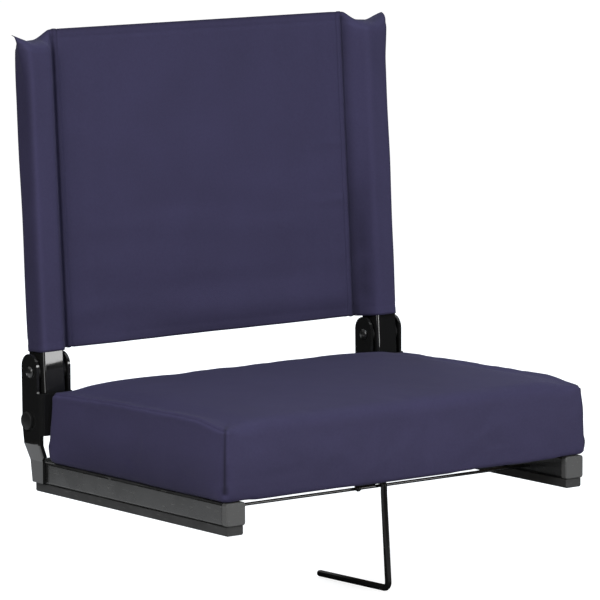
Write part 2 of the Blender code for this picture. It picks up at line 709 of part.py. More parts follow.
def make_seat_cover(name, finish):
    """The boxed cover: a shell over foam and board, turned in under the board's edge."""
    outside = cushion_skin(0, SEAT_EDGE / SEAT_THICKNESS)
    inside = cushion_skin(SEAT_CLOTH, SEAT_CLOTH / SEAT_THICKNESS)
    lip_low = cushion_ring(0, SEAT_LIP)
    lip_high = cushion_ring(0, SEAT_LIP, SEAT_CLOTH)
    under = cushion_ring(0, SEAT_EDGE / 2)
    bm = loft([lip_low, under] + outside)
    wall = [lip_high] + inside
    loft(wall, bm=bm)
    caps = [face for face in bm.faces if len(face.verts) > 4]
    bmesh.ops.delete(bm, geom=caps, context="FACES_ONLY")
    rims = [edge for edge in bm.edges if edge.is_boundary]
    bmesh.ops.bridge_loops(bm, edges=rims)
    place(name, bm, finish)


def make_foam(name, finish):
    """The foam block between the board and the cover."""
    inset = SEAT_CLOTH + GAP
    start = (BOARD_TOP + GAP - SEAT_BOTTOM) / SEAT_THICKNESS
    rings = cushion_skin(inset, start)
    for point in rings[0]:
        point.z = BOARD_TOP + GAP
    place(name, loft(rings), finish)


def make_rod(name, finish):
    """The thin rod between the inner walls of the rails."""
    reach = RAIL_X - HALF_TUBE + TUBE_WALL + ROD_ENTRY
    radius = ROD_DIAMETER / 2
    nose = radius / 3
    half = [(0, radius), (reach - nose, radius), (reach, radius - nose)]
    profile = [(-along, r) for along, r in reversed(half)] + half[1:]
    place(name, loft(turned(profile, SMALL_SIDES)), finish, (0, ROD_Y, ROD_Z))


def hook_line():
    """Centre line of the hook about the cross rod: tip, long leg, then twice over the rod."""
    ride = ROD_DIAMETER / 2 + GAP + HOOK_DIAMETER / 2
    x = HOOK_SADDLE / 2
    corner = Vector((x, -ride - HOOK_LEAN, -HOOK_DROP))
    tip = corner + Vector((0, HOOK_REACH, -HOOK_TIP_DROP))
    neck = Vector((x, -ride, -HOOK_DIAMETER))
    along = (tip - corner).normalized()
    up = (neck - corner).normalized()
    opening = along.angle(up)
    setback = HOOK_BEND / math.tan(opening / 2)
    centre = corner + (along + up).normalized() * HOOK_BEND / math.sin(opening / 2)
    start = corner + along * setback - centre
    stop = corner + up * setback - centre
    line = [tip, tip.lerp(corner, 0.5)]
    for step in range(HOOK_BEND_STEPS + 1):
        line.append(centre + start.lerp(stop, step / HOOK_BEND_STEPS).normalized() * HOOK_BEND)
    line += [corner.lerp(neck, 0.5), neck]
    last = math.pi - math.asin(HOOK_END_ANGLE / HOOK_WRAP)
    for step in range(HOOK_WRAP_STEPS + 1):
        sweep = last * step / HOOK_WRAP_STEPS
        wrap = HOOK_WRAP * math.sin(sweep)
        line.append(Vector((x * math.cos(sweep), -ride * math.cos(wrap), ride * math.sin(wrap))))
    return line


def swept_rod(line, radius, sides):
    """Rings of a round rod along a line, with rounded ends."""
    tangents = []
    for i in range(len(line)):
        tangents.append((line[min(i + 1, len(line) - 1)] - line[max(i - 1, 0)]).normalized())
    side = tangents[0].orthogonal().normalized()
    frames = []
    for i, tangent in enumerate(tangents):
        if i:
            side = tangents[i - 1].rotation_difference(tangent) @ side
        frames.append((line[i], tangent, side, 1.0))
    first = []
    final = []
    for angle in (math.pi / 6, math.pi / 3):
        beyond = radius * math.sin(angle)
        first.insert(0, (line[0] - tangents[0] * beyond, tangents[0], frames[0][2], math.cos(angle)))
        final.append((line[-1] + tangents[-1] * beyond, tangents[-1], frames[-1][2], math.cos(angle)))
    rings = [[line[0] - tangents[0] * radius]]
    for point, tangent, across, size in first + frames + final:
        other = tangent.cross(across)
        ring = []
        for i in range(sides):
            angle = 2 * math.pi * i / sides
            ring.append(point + (across * math.cos(angle) + other * math.sin(angle)) * radius * size)
        rings.append(ring)
    rings.append([line[-1] + tangents[-1] * radius])
    return rings


def main():
    clear_scene()
    rail_grey = material("rail_grey_powder_coat", (0.060, 0.060, 0.057), 0.55)
    cap_grey = material("cap_grey_plastic", (0.095, 0.095, 0.092), 0.5)
    foot_rubber = material("foot_rubber", (0.035, 0.035, 0.034), 0.75)
    bracket_black = material("bracket_black_enamel", (0.012, 0.012, 0.012), 0.22)
    post_black = material("post_black_enamel", (0.012, 0.012, 0.012), 0.2)
    rivet_black = material("rivet_black_steel", (0.015, 0.015, 0.015), 0.25, 0.6)
    nylon = material("washer_nylon", (0.02, 0.02, 0.02), 0.5)
    plug_black = material("plug_black_plastic", (0.012, 0.012, 0.012), 0.45)
    screw_zinc = material("screw_zinc", (0.45, 0.45, 0.43), 0.35, 1.0)
    plywood = material("seat_plywood", (0.45, 0.31, 0.17), 0.7)
    foam = material("seat_foam", (0.75, 0.72, 0.62), 0.9)
    navy_seat = material("seat_navy_fabric", (0.040, 0.034, 0.078), 0.75)
    navy_back = material("back_navy_fabric", (0.040, 0.034, 0.078), 0.75)
    rod_black = material("rod_black_enamel", (0.010, 0.010, 0.010), 0.25)
    hook_black = material("hook_black_vinyl", (0.008, 0.008, 0.008), 0.4)

    back_pivot = pivot_empty("back_pivot", (0, PIVOT_Y, PIVOT_Z), BACK_LEAN)
    hook_pivot = pivot_empty("hook_pivot", (0, ROD_Y, ROD_Z))
    for side, hand in ((-1, "left"), (1, "right")):
        make_rail(side, hand + "_rail", rail_grey)
        make_cap(hand + "_front_cap", cap_grey, side, -1)
        make_cap(hand + "_rear_cap", cap_grey, side, 1)
        make_foot_strip(hand + "_foot_strip", foot_rubber, side)
        make_bracket(hand + "_hinge_bracket", bracket_black, side)
        pivot_names = (hand + "_pivot_rivet", hand + "_outer_washer", hand + "_inner_washer")
        make_pivot(pivot_names, (rivet_black, nylon), side)
        post_plugs = (hand + "_post_top_plug", hand + "_post_tail_plug")
        make_post(hand + "_back_post", post_plugs, post_black, plug_black, side, back_pivot)
        screw_names = [hand + spot + "_screw" for spot in ("_front", "_middle", "_rear")]
        make_screws(screw_names, screw_zinc, side)
    make_cross_tube("rear_cross_tube", ("left_tube_plug", "right_tube_plug"), bracket_black, plug_black)
    make_back_cover("back_cover", navy_back, back_pivot)
    make_board("seat_board", plywood)
    make_foam("seat_foam", foam)
    make_seat_cover("seat_cover", navy_seat)
    make_rod("front_cross_rod", rod_black)
    hook = loft(swept_rod(hook_line(), HOOK_DIAMETER / 2, SMALL_SIDES))
    place("bleacher_hook", hook, hook_black, parent=hook_pivot)


main()
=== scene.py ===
"""Folding bleacher seat: padded cushion, sleeved back, finishes and studio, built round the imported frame."""
import json
import math

import bmesh
import bpy
import numpy as np
from bpy.props import FloatProperty, FloatVectorProperty, PointerProperty
from mathutils import Matrix, Quaternion, Vector, noise
from mathutils.kdtree import KDTree


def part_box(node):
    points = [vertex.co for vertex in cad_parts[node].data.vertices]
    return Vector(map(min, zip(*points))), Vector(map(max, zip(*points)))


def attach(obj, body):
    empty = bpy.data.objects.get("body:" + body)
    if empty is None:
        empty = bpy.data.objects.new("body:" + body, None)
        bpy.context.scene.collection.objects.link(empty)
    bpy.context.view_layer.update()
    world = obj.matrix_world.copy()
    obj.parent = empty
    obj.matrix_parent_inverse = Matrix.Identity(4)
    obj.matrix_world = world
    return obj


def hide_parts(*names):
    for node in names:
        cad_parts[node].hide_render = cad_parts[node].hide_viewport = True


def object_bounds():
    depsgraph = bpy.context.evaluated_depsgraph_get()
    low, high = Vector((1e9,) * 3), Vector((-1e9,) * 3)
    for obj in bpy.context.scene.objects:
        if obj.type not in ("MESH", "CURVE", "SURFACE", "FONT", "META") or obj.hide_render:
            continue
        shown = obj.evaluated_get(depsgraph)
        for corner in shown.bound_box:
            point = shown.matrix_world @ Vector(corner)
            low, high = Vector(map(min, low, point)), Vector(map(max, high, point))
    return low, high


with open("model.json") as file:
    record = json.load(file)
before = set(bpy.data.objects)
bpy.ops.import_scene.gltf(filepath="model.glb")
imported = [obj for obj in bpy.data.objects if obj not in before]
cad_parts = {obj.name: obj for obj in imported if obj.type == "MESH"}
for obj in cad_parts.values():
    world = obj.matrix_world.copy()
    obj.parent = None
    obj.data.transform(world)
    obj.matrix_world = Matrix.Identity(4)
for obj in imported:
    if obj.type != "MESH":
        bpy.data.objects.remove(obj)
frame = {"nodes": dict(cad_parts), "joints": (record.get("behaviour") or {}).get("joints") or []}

bl_info = {
    "name": "Folding bleacher seat",
    "version": (1, 0, 0),
    "blender": (4, 5, 0),
    "location": "View3D > Sidebar > Bleacher seat",
    "description": "Dresses the frame of a folding bleacher seat with its cushion, sleeved back and finishes",
    "category": "Object",
}

# Places taken from the frame
CAD_BOX = [list(corner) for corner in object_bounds()]
SEAT_LOW, SEAT_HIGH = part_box("seat_cover")
BOARD_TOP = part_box("seat_board")[1].z
HINGE = {joint["name"]: Vector(joint["pos_m"]) for joint in frame["joints"]}
POST_LOW, POST_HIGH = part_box("right_back_post")
POST_X = (POST_LOW.x + POST_HIGH.x) / 2
POST_HALF = (POST_HIGH.x - POST_LOW.x) / 2
SIDES = ("left", "right")

PANEL_TAB = "Bleacher seat"

# Cushion: frames of swelling, half width of a seam, reach of the roll's ends and gap to the board
SWELL_FRAMES = 20
SEAM_HALF_WIDTH = 0.0013
CORNER_REACH = 0.035
CLOTH_GAP = 0.0003

# Cushion: rings that turn its lower edge and roll over its upper one
LOW_STEPS = 2
ROLL_STEPS = 4

# Cushion: shares of its half width between which the top falls off to the sides
FALL_START = 0.80
FALL_END = 0.94

# Cushion: share of its half width within which the front hangs, and the share over which that fades in
HANG_END = 0.865
HANG_FADE = 0.03

# Cushion: how far in from the front and from a side the drooping corners reach
DROOP_DEPTH = 0.055
DROOP_WIDTH = 0.060

# Cushion: distance from the middle where the bow of the side rims begins
RIM_START = 0.197

# Cushion: how its cover behaves as cloth while it swells
COVER_CLOTH = {
    "quality": 8,
    "mass": 0.2,
    "tension_stiffness": 25.0,
    "compression_stiffness": 25.0,
    "shear_stiffness": 8.0,
    "bending_stiffness": 0.3,
    "use_pressure": True,
    "vertex_group_mass": "held",
}

# Cushion: height and width of the groove along a seam and of the ridge beside it, and where that stands
SEAM_GROOVE = (-0.0010, 0.0013)
SEAM_RIDGE = (0.0004, 0.0016)
RIDGE_PLACE = 0.0034

# Cushion: height, pitch and shift of each layer of noise in its cloth
SEAM_PUCKERS = (0.0005, 75.0, 0.0)
SOFT_WAVES = (0.0005, 15.0, 3.1)
FINE_WAVES = (0.0002, 45.0, 7.7)
LOW_FOLDS = (0.0008, (42.0, 42.0, 9.0), 5.2)
CORNER_FOLDS = (0.0022, 75.0, 9.4)

# Cushion: how far from a seam its puckers reach, and the share of the height that the low folds reach up
PUCKER_REACH = 0.012
LOW_REACH = 0.25

# Cushion: how far from a corner its folds reach, and up to which share of the height
FOLD_REACH = 0.024
FOLD_HEIGHT = 0.35

# Cushion: how far its cloth may sink at its foot, and how much further above that
FOOT_SINK = 0.0003
MORE_SINK = 0.0009

# Cushion: strength and width of painted shade at its upright seams and of painted highlight along all seams
UPRIGHT_SHADE = (2.0, 0.0022)
SEAM_LIGHT = (0.35, 0.0026)

# Cushion: strength of the painted shade at the foot of its two sides
FOOT_SHADE = 1.1

# Cushion: rise of its low corners, and the slanted axes of the folds there
CORNER_LIFT = 0.0008
FOLD_AXES = np.array([[1.0, 0.4, 0.6], [-0.4, 1.0, 0.6], [0.5, 0.5, 0.35]])

# Back: points round a sleeve, and levels below and above the shoulder
SLEEVE_POINTS = 45
RISE_STEPS = 56
CREST_STEPS = 8

# Back: play round a post, corner radius of a sleeve, and how far its seams lie behind the panel
SLEEVE_EASE = 0.0008
SLEEVE_CORNER = 0.0070
SLOT_DEPTH = 0.0016

# Back: how far below the shoulder the corners flare, and the top edge's lowest place across a sleeve
FLARE = 0.030
LOWEST = 0.66

# Back: widths of the sewn-down seam and of the hem
FELL_WIDTH = 0.0065
HEM_WIDTH = 0.009

# Back: height and width of its grooves and of the ridge along its sewn-down seam
STITCH_GROOVE = (-0.0004, 0.0016)
FELL_GROOVE = (-0.0009, 0.0012)
FELL_RIDGE = (0.0004, 0.0020)
HEM_GROOVE = (-0.0005, 0.0016)

# Back: height, pitch and shift of each layer of noise in its cloth, the last one varying the painted fold
SEAM_CREASES = (0.0004, (90.0, 10.0, 90.0), 2.3)
SEAM_WAVES = (0.0016, (70.0, 0.0, 7.0), 4.4)
PANEL_WAVES = (0.0016, (12.0, 0.0, 9.0), 8.1)
HEM_WAVES = (0.0015, (30.0, 0.0, 12.0), 6.6)
SLUMP_FOLDS = (0.0042, (7.0, 0.0, 38.0), 2.9)
SLEEVE_WAVES = (0.0006, (60.0, 60.0, 16.0), 1.7)
FOLD_MOTTLE = (1.0, (60.0, 0.0, 60.0), 3.7)

# Back: heights of a sagging band and of two creases pulled from the right seam, and their depth
SAG_HEIGHT = 0.135
PULL_HEIGHTS = (0.140, 0.197)
PULL_DEPTH = 0.0016

# Back: strength and width of the painted shade at its seams and along its top, and the left seam's share
SEAM_SHADE = (1.0, 0.0042)
TOP_SHADE = (0.9, 0.0022)
LEFT_SEAM_SHARE = 0.4

# Back: strength of the darkening above the hem, of a painted fold shade by the right seam and of the painted
# shade on a sleeve's outer face
HEM_SHADE = 0.5
FOLD_SHADE = 0.75
OUTER_SHADE = 0.55

# Back: strength of the painted light on a sleeve's front ridge and on the upper part of its inner face
RIDGE_LIGHT = 0.35
INNER_LIGHT = 0.6

# Stage: cool tint of the lamps overhead and behind
SKY_TINT = (0.86, 1.0, 1.14)

# Stage: the dark surround's middle, its rings as radius and height, and the card under the seat
SURROUND_PLACE = (-0.12, 0.16, 0.0)
SURROUND = ((0.875, -0.0885), (2.6, 0.06), (2.6, 1.6))
SURROUND_SIDES = 48
# The card under the seat is a painted shadow of the seat on the floor, seen only in reflections
UNDER_SEAT = ((-0.14, -0.40), (0.55, -0.40), (0.55, 0.55), (-0.28, 0.55), (-0.28, 0.30), (-0.14, 0.28))
FLOOR_GAP = 0.0004


def length_setting(name, description, default):
    """A length that can be set."""
    return FloatProperty(name=name, description=description, default=default, unit="LENGTH")


def angle_setting(name, description, degrees):
    """An angle that can be set, given in degrees."""
    return FloatProperty(name=name, description=description, default=math.radians(degrees), subtype="ANGLE")


def power_setting(name, description, default):
    """A lamp's power that can be set."""
    return FloatProperty(name=name, description=description, default=default, unit="POWER")


def colour_setting(name, description, *default):
    """A colour that can be set."""
    return FloatVectorProperty(name=name, description=description, default=default, subtype="COLOR")


class CushionSettings(bpy.types.PropertyGroup):
    """Sizes of the boxed seat cushion."""

    low_bulge: length_setting("Low bulge", "How far the sides swell out low down", 0.0025)
    side_draw: length_setting("Side draw", "How far the middle of a side is pulled in", 0.002)
    front_rise: length_setting("Front rise", "How much higher the front edge is", 0.0042)
    crown: length_setting("Crown", "Rise of the top's middle over its edges", 0.0035)
    rear_rise: length_setting("Rear rise", "Rise of the rear edge between its corners", 0.0072)
    side_fall: length_setting("Side fall", "Fall of the top under the folded sleeves", 0.0022)
    front_hang: length_setting("Front hang", "How far the front hangs between the rails", 0.0011)
    corner_droop: length_setting("Corner droop", "How far the front corners droop", 0.0045)
    side_bow: length_setting("Side bow", "Rise of the side rims between their corners", 0.0050)
    corner: length_setting("Corner", "Radius of the upright corners", 0.005)
    side_edge: length_setting("Side edge", "Radius along the seams of the sides", 0.0040)
    front_edge: length_setting("Front edge", "Radius where the top rolls over to the front", 0.013)
    low_edge: length_setting("Low edge", "Radius where the cover turns under", 0.003)
    cloth: length_setting("Cloth", "Thickness of the cover", 0.0016)
    lip: length_setting("Lip", "Width of cover turned under the board", 0.010)
    cell: length_setting("Cell", "Spacing of the mesh before it is refined", 0.0052)
    pressure: FloatProperty(name="Pressure", description="Push of the foam on the cover", default=4.0)
    slack: FloatProperty(
        name="Slack", description="Spare cloth in the cover", default=0.006, subtype="FACTOR")
    swell_limit: length_setting("Swell limit", "Furthest that the cover may move", 0.002)


class BackSettings(bpy.types.PropertyGroup):
    """Sizes of the sleeved back, along the back from its pivot."""

    lean: angle_setting("Lean", "How far the back leans to the rear", 3.6)
    hem: length_setting("Hem", "Height of the lower edge", 0.0192)
    shoulder: length_setting("Shoulder", "Height where the sleeves close", 0.309)
    panel_top: length_setting("Panel top", "Height of the panel's upper edge", 0.329)
    dip: length_setting("Dip", "Height of the edge over a post", 0.319)
    ear: length_setting("Ear", "Height of the pointed corner", 0.326)
    seam_gap: length_setting("Seam gap", "Distance from a post to its sleeve's seam", 0.0275)
    sleeve_flat: length_setting("Sleeve flat", "Width of a sleeve pressed flat", 0.0495)
    setback: length_setting("Setback", "How far the panel lies behind the posts' middle", 0.007)
    panel_depth: length_setting("Panel depth", "Thickness of the doubled panel", 0.004)
    seam_depth: length_setting("Seam depth", "Thickness at a seam", 0.0022)
    cloth: length_setting("Cloth", "Thickness of a sleeve", 0.0013)
    bow: length_setting("Bow", "How far the panel's middle hangs back", 0.0025)
    puff: length_setting("Puff", "How far a sleeve swells out below its corner", 0.001)
    curl: length_setting("Curl", "How far the pointed corners curl forward", 0.0042)


class FinishSettings(bpy.types.PropertyGroup):
    """Colours and textures of the finishes."""

    navy: colour_setting("Navy", "Thread colour of the fabric", 0.043, 0.0385, 0.083)
    navy_gap: colour_setting("Navy gap", "Colour between the threads", 0.025, 0.0215, 0.053)
    thread: length_setting("Thread", "Pitch of the weave", 0.0011)
    rail: colour_setting("Rail", "Powder coat of the rails", 0.0085, 0.0085, 0.0085)
    cap: colour_setting("Cap", "Plastic of the rail caps", 0.059, 0.059, 0.058)
    rubber: colour_setting("Rubber", "Rubber of the foot strips", 0.022, 0.022, 0.022)
    enamel: colour_setting("Enamel", "Gloss black of brackets and posts", 0.0085, 0.0085, 0.0085)
    plug: colour_setting("Plug", "Plastic of the plugs and washers", 0.007, 0.007, 0.007)
    zinc: colour_setting("Zinc", "Plating of the screws", 0.52, 0.52, 0.50)
    plywood: colour_setting("Plywood", "Face of the seat board", 0.46, 0.32, 0.18)


class StageSettings(bpy.types.PropertyGroup):
    """Camera, lamps and floor."""

    azimuth: angle_setting("Azimuth", "Camera's turn round the seat", -37.347)
    elevation: angle_setting("Elevation", "Camera's height over the horizon", 7.759)
    roll: angle_setting("Roll", "Camera's tilt", -0.243)
    distance: length_setting("Distance", "Camera to the middle of the view", 4.560)
    lens: FloatProperty(name="Lens", description="Focal length in millimetres", default=283.1)
    aim: FloatVectorProperty(
        name="Aim", description="Middle of the view", default=(-0.00974, 0.0, 0.18608), subtype="XYZ")
    ambient: FloatProperty(name="Ambient", description="Light from all round", default=0.26)
    key: power_setting("Key", "Softbox in front, to the right", 13.8)
    fill: power_setting("Fill", "Softbox on the left", 33.0)
    top: power_setting("Top", "Softbox overhead", 14.5)
    rear: power_setting("Rear", "Softbox behind", 32.0)
    edge: power_setting("Edge", "Low softbox for the bent edges", 1.4)
    floor_width: length_setting("Floor", "Width of the floor", 40.0)


def set_inputs(tree, node, inputs):
    """Set or link inputs of a node."""
    for name, value in inputs.items():
        if isinstance(value, bpy.types.NodeSocket):
            tree.links.new(value, node.inputs[name])
        else:
            node.inputs[name].default_value = value


def add_node(tree, kind, inputs=None, **settings):
    """Add a shader node, set its options, and set or link its inputs."""
    made = tree.nodes.new("ShaderNode" + kind)
    for name, value in settings.items():
        setattr(made, name, value)
    set_inputs(tree, made, inputs or {})
    return made


def math_node(tree, operation, *values):
    """Add a Math node and return its result."""
    return add_node(tree, "Math", dict(enumerate(values)), operation=operation).outputs[0]


def mix_colour(tree, share, first, second):
    """Add a colour mix and return its result, by the numbers of the node's colour sockets."""
    return add_node(tree, "Mix", {"Factor": share, 6: first, 7: second}, data_type="RGBA").outputs[2]


def new_group(name, inputs, outputs):
    """Start a shader node group with named sockets and return its tree, inputs and output node."""
    tree = bpy.data.node_groups.new(name, "ShaderNodeTree")
    for title, kind, default in inputs:
        socket = tree.interface.new_socket(title, in_out="INPUT", socket_type="NodeSocket" + kind)
        socket.default_value = default
    for title, kind in outputs:
        tree.interface.new_socket(title, in_out="OUTPUT", socket_type="NodeSocket" + kind)
    entry = tree.nodes.new("NodeGroupInput")
    leave = tree.nodes.new("NodeGroupOutput")
    return tree, entry.outputs, leave


def canvas_weave_group():
    """Plain weave on any face, read from the object's own coordinates, with worn and faded patches."""
    tree, given, leave = new_group(
        "Canvas weave",
        [("Thread", "Color", (1, 1, 1, 1)), ("Gap", "Color", (0, 0, 0, 1)), ("Pitch", "Float", 0.001),
         ("Fade", "Float", 0.2), ("Painted shading", "Float", 0.4)],
        [("Colour", "Color"), ("Roughness", "Float"), ("Height", "Float")])
    where = add_node(tree, "TexCoord").outputs
    turns = math_node(tree, "DIVIDE", 2 * math.pi, given["Pitch"])
    scaled = add_node(tree, "VectorMath", {0: where["Object"], "Scale": turns}, operation="SCALE").outputs[0]
    sines = add_node(tree, "VectorMath", {0: scaled}, operation="SINE").outputs[0]
    wave = add_node(tree, "SeparateXYZ", {0: sines}).outputs
    pairs = add_node(tree, "CombineXYZ", {
        0: math_node(tree, "MULTIPLY", wave[1], wave[2]),
        1: math_node(tree, "MULTIPLY", wave[2], wave[0]),
        2: math_node(tree, "MULTIPLY", wave[0], wave[1])}).outputs[0]
    squares = {0: where["Normal"], 1: where["Normal"]}
    facing = add_node(tree, "VectorMath", squares, operation="MULTIPLY").outputs[0]
    over = add_node(tree, "VectorMath", {0: pairs, 1: facing}, operation="DOT_PRODUCT").outputs["Value"]
    height = math_node(tree, "MULTIPLY_ADD", over, 0.5, 0.5)
    slubs = add_node(tree, "TexNoise", {"Vector": where["Object"], "Scale": 420.0, "Detail": 3.0}).outputs[0]
    blotch = add_node(tree, "TexNoise", {"Vector": where["Object"], "Scale": 16.0, "Detail": 5.0}).outputs[0]
    woven = math_node(tree, "MULTIPLY_ADD", slubs, 0.5, math_node(tree, "MULTIPLY", height, 0.6))
    cloth = mix_colour(tree, woven, given["Gap"], given["Thread"])
    shade = math_node(tree, "MULTIPLY_ADD", math_node(tree, "SUBTRACT", blotch, 0.5), given["Fade"], 1.0)
    # Painted shade and painted highlights kept on the mesh: above zero darkens the cloth, below zero lightens
    # it
    sewn = add_node(tree, "Attribute", attribute_name="painted_shading").outputs["Fac"]
    shade = math_node(tree, "SUBTRACT", shade, math_node(tree, "MULTIPLY", sewn, given["Painted shading"]))
    tint = add_node(tree, "VectorMath", {0: cloth, "Scale": shade}, operation="SCALE").outputs[0]
    set_inputs(tree, leave, {
        "Colour": tint,
        "Roughness": math_node(tree, "MULTIPLY_ADD", blotch, 0.16, 0.62),
        "Height": math_node(tree, "MULTIPLY_ADD", slubs, 0.4, height)})
    return tree


def coating_group():
    """Grain, dust and scuffs of a coated or moulded surface."""
    tree, given, leave = new_group(
        "Coating",
        [("Colour", "Color", (0.5, 0.5, 0.5, 1)), ("Grain", "Float", 900.0), ("Roughness", "Float", 0.4),
         ("Scuffs", "Float", 0.3), ("Dust", "Float", 0.2)],
        [("Colour", "Color"), ("Roughness", "Float"), ("Height", "Float")])
    where = add_node(tree, "TexCoord").outputs
    grit = {"Vector": where["Object"], "Scale": given["Grain"], "Detail": 2.0}
    grain = add_node(tree, "TexNoise", grit).outputs[0]
    patch = add_node(tree, "TexNoise", {"Vector": where["Object"], "Scale": 35.0, "Detail": 6.0}).outputs[0]
    streaked = add_node(tree, "Mapping", {"Vector": where["Object"], "Scale": (90.0, 25.0, 220.0)}).outputs[0]
    streak = add_node(tree, "TexNoise", {"Vector": streaked, "Scale": 3.0, "Detail": 4.0}).outputs[0]
    rubbed = add_node(tree, "MapRange", {"Value": streak, "From Min": 0.62, "From Max": 0.72}).outputs[0]
    scuffed = math_node(tree, "MULTIPLY", math_node(tree, "MULTIPLY", rubbed, patch), given["Scuffs"])
    upward = add_node(tree, "SeparateXYZ", {0: where["Normal"]}).outputs[2]
    settled = add_node(tree, "MapRange", {"Value": upward, "From Min": 0.2, "From Max": 1.0}).outputs[0]
    dusty = math_node(tree, "MULTIPLY", math_node(tree, "MULTIPLY", settled, patch), given["Dust"])
    worn = math_node(tree, "ADD", scuffed, dusty)
    uneven = math_node(tree, "MULTIPLY", math_node(tree, "ADD", patch, 0.5), given["Roughness"])
    set_inputs(tree, leave, {
        "Colour": mix_colour(tree, worn, given["Colour"], (0.30, 0.30, 0.29, 1)),
        "Roughness": math_node(tree, "MULTIPLY_ADD", worn, 0.4, uneven),
        "Height": grain})
    return tree


def shared_group(name, maker):
    """The node group of that name, built once."""
    return bpy.data.node_groups.get(name) or maker()


def new_material(name):
    """An empty material with its Principled shader and the tree that it is in."""
    made = bpy.data.materials.new(name)
    made.use_nodes = True
    return made, made.node_tree, made.node_tree.nodes["Principled BSDF"]


def dress_shader(tree, shader, effect, bump, depth):
    """Join a group's colour, roughness and height to the material's shader."""
    relief = add_node(tree, "Bump", {"Strength": bump, "Distance": depth, "Height": effect.outputs["Height"]})
    set_inputs(tree, shader, {
        "Base Color": effect.outputs["Colour"],
        "Roughness": effect.outputs["Roughness"],
        "Normal": relief.outputs["Normal"]})


def navy_canvas():
    """Woven navy polyester of the cushion and the back."""
    made = bpy.data.materials.get("Navy canvas")
    if made:
        return made
    finish = bpy.context.scene.bleacher_finish
    made, tree, shader = new_material("Navy canvas")
    weave = add_node(tree, "Group", node_tree=shared_group("Canvas weave", canvas_weave_group))
    set_inputs(tree, weave, {"Thread": (*finish.navy, 1), "Gap": (*finish.navy_gap, 1)})
    # The last setting is how strongly the painted shade and painted highlights show in the colour
    set_inputs(tree, weave, {"Pitch": finish.thread, "Fade": 0.30, "Painted shading": 0.42})
    dress_shader(tree, shader, weave, 0.35, 0.0003)
    set_inputs(tree, shader, {"Specular IOR Level": 0.1, "Sheen Weight": 0.02, "Sheen Roughness": 0.4})
    return made


def coated(name, colour, roughness, grain=900.0, bump=0.1, scuffs=0.3, dust=0.2, metallic=0.0, specular=0.5):
    """A painted, moulded or plated finish."""
    made = bpy.data.materials.get(name)
    if made:
        return made
    made, tree, shader = new_material(name)
    coat = add_node(tree, "Group", node_tree=shared_group("Coating", coating_group))
    set_inputs(tree, coat, {"Colour": (*colour, 1), "Grain": grain, "Roughness": roughness})
    set_inputs(tree, coat, {"Scuffs": scuffs, "Dust": dust})
    dress_shader(tree, shader, coat, bump, 0.0002)
    set_inputs(tree, shader, {"Metallic": metallic, "Specular IOR Level": specular})
    return made


def gloss_enamel(finish):
    """Gloss black of the brackets, the posts, the rear tube and the cross rod."""
    return coated(
        "Gloss enamel", finish.enamel, 0.02, grain=160.0, bump=0.004, scuffs=0.01, dust=0.01, specular=0.44)


def plywood_face(colour):
    """Rotary-cut plywood, with long wavy grain across the seat."""
    made, tree, shader = new_material("Plywood face")
    where = add_node(tree, "TexCoord").outputs["Object"]
    long_way = add_node(tree, "Mapping", {"Vector": where, "Scale": (2.0, 28.0, 28.0)}).outputs[0]
    wavy = {"Vector": long_way, "Scale": 2.0, "Detail": 6.0, "Distortion": 1.2}
    bent = add_node(tree, "TexNoise", wavy).outputs[0]
    rings = math_node(tree, "SINE", math_node(tree, "MULTIPLY", bent, 60.0))
    pores = add_node(tree, "TexNoise", {"Vector": long_way, "Scale": 40.0, "Detail": 2.0}).outputs[0]
    figure = math_node(tree, "MULTIPLY_ADD", rings, 0.25, pores)
    dark = tuple(0.55 * part for part in colour)
    face = mix_colour(tree, figure, (*dark, 1), (*colour, 1))
    relief = add_node(tree, "Bump", {"Strength": 0.2, "Distance": 0.0003, "Height": figure}).outputs[0]
    set_inputs(tree, shader, {"Base Color": face, "Normal": relief, "Roughness": 0.7})
    return made


def finish_node(name, material, bevel=0.0003, segments=2, angle=40):
    """Give a frame piece its finish, rounded edges and smooth shading; its points stay as they are."""
    obj = frame["nodes"][name]
    mesh = obj.data
    mesh.materials.clear()
    mesh.materials.append(material)
    given = mesh.attributes.get("custom_normal")
    if given:
        mesh.attributes.remove(given)
    mesh.shade_smooth()
    weld = obj.modifiers.new("weld", "WELD")
    weld.merge_threshold = 0.00001
    flat = obj.modifiers.new("flat_faces", "DECIMATE")
    flat.decimate_type = "DISSOLVE"
    flat.angle_limit = math.radians(0.3)
    edge = obj.modifiers.new("edge", "BEVEL")
    edge.width = bevel
    edge.segments = segments
    edge.limit_method = "ANGLE"
    edge.angle_limit = math.radians(angle)
    edge.harden_normals = False
    obj.modifiers.new("even_shading", "WEIGHTED_NORMAL")
    return obj


def add_object(name, data):
    """Add an object to the scene."""
    made = bpy.data.objects.new(name, data)
    bpy.context.scene.collection.objects.link(made)
    return made


def to_mesh(bm, name):
    """Turn a bmesh into a mesh, and free it."""
    mesh = bpy.data.meshes.new(name)
    bm.to_mesh(mesh)
    bm.free()
    return mesh


def piece(name, mesh, material, body, stands_for, matrix=None):
    """Add a mesh as a piece that rides on a body and stands for frame nodes."""
    obj = add_object(name, mesh)
    if matrix:
        obj.matrix_world = matrix
    mesh.materials.clear()
    mesh.materials.append(material)
    mesh.shade_smooth()
    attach(obj, body)
    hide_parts(*stands_for)
    return obj


def refined(bm, levels):
    """Turn a bmesh into a mesh, smoothed by subdivision."""
    coarse = to_mesh(bm, "coarse")
    obj = add_object("coarse", coarse)
    smooth = obj.modifiers.new("smooth", "SUBSURF")
    smooth.levels = levels
    smooth.render_levels = levels
    graph = bpy.context.evaluated_depsgraph_get()
    made = bpy.data.meshes.new_from_object(obj.evaluated_get(graph))
    bpy.data.objects.remove(obj)
    bpy.data.meshes.remove(coarse)
    return made


def mesh_array(mesh, kind):
    """Points or normals of a mesh as an array."""
    values = np.empty(len(mesh.vertices) * 3)
    if kind == "normal":
        mesh.vertex_normals.foreach_get("vector", values)
    else:
        mesh.vertices.foreach_get("co", values)
    return values.reshape(-1, 3)


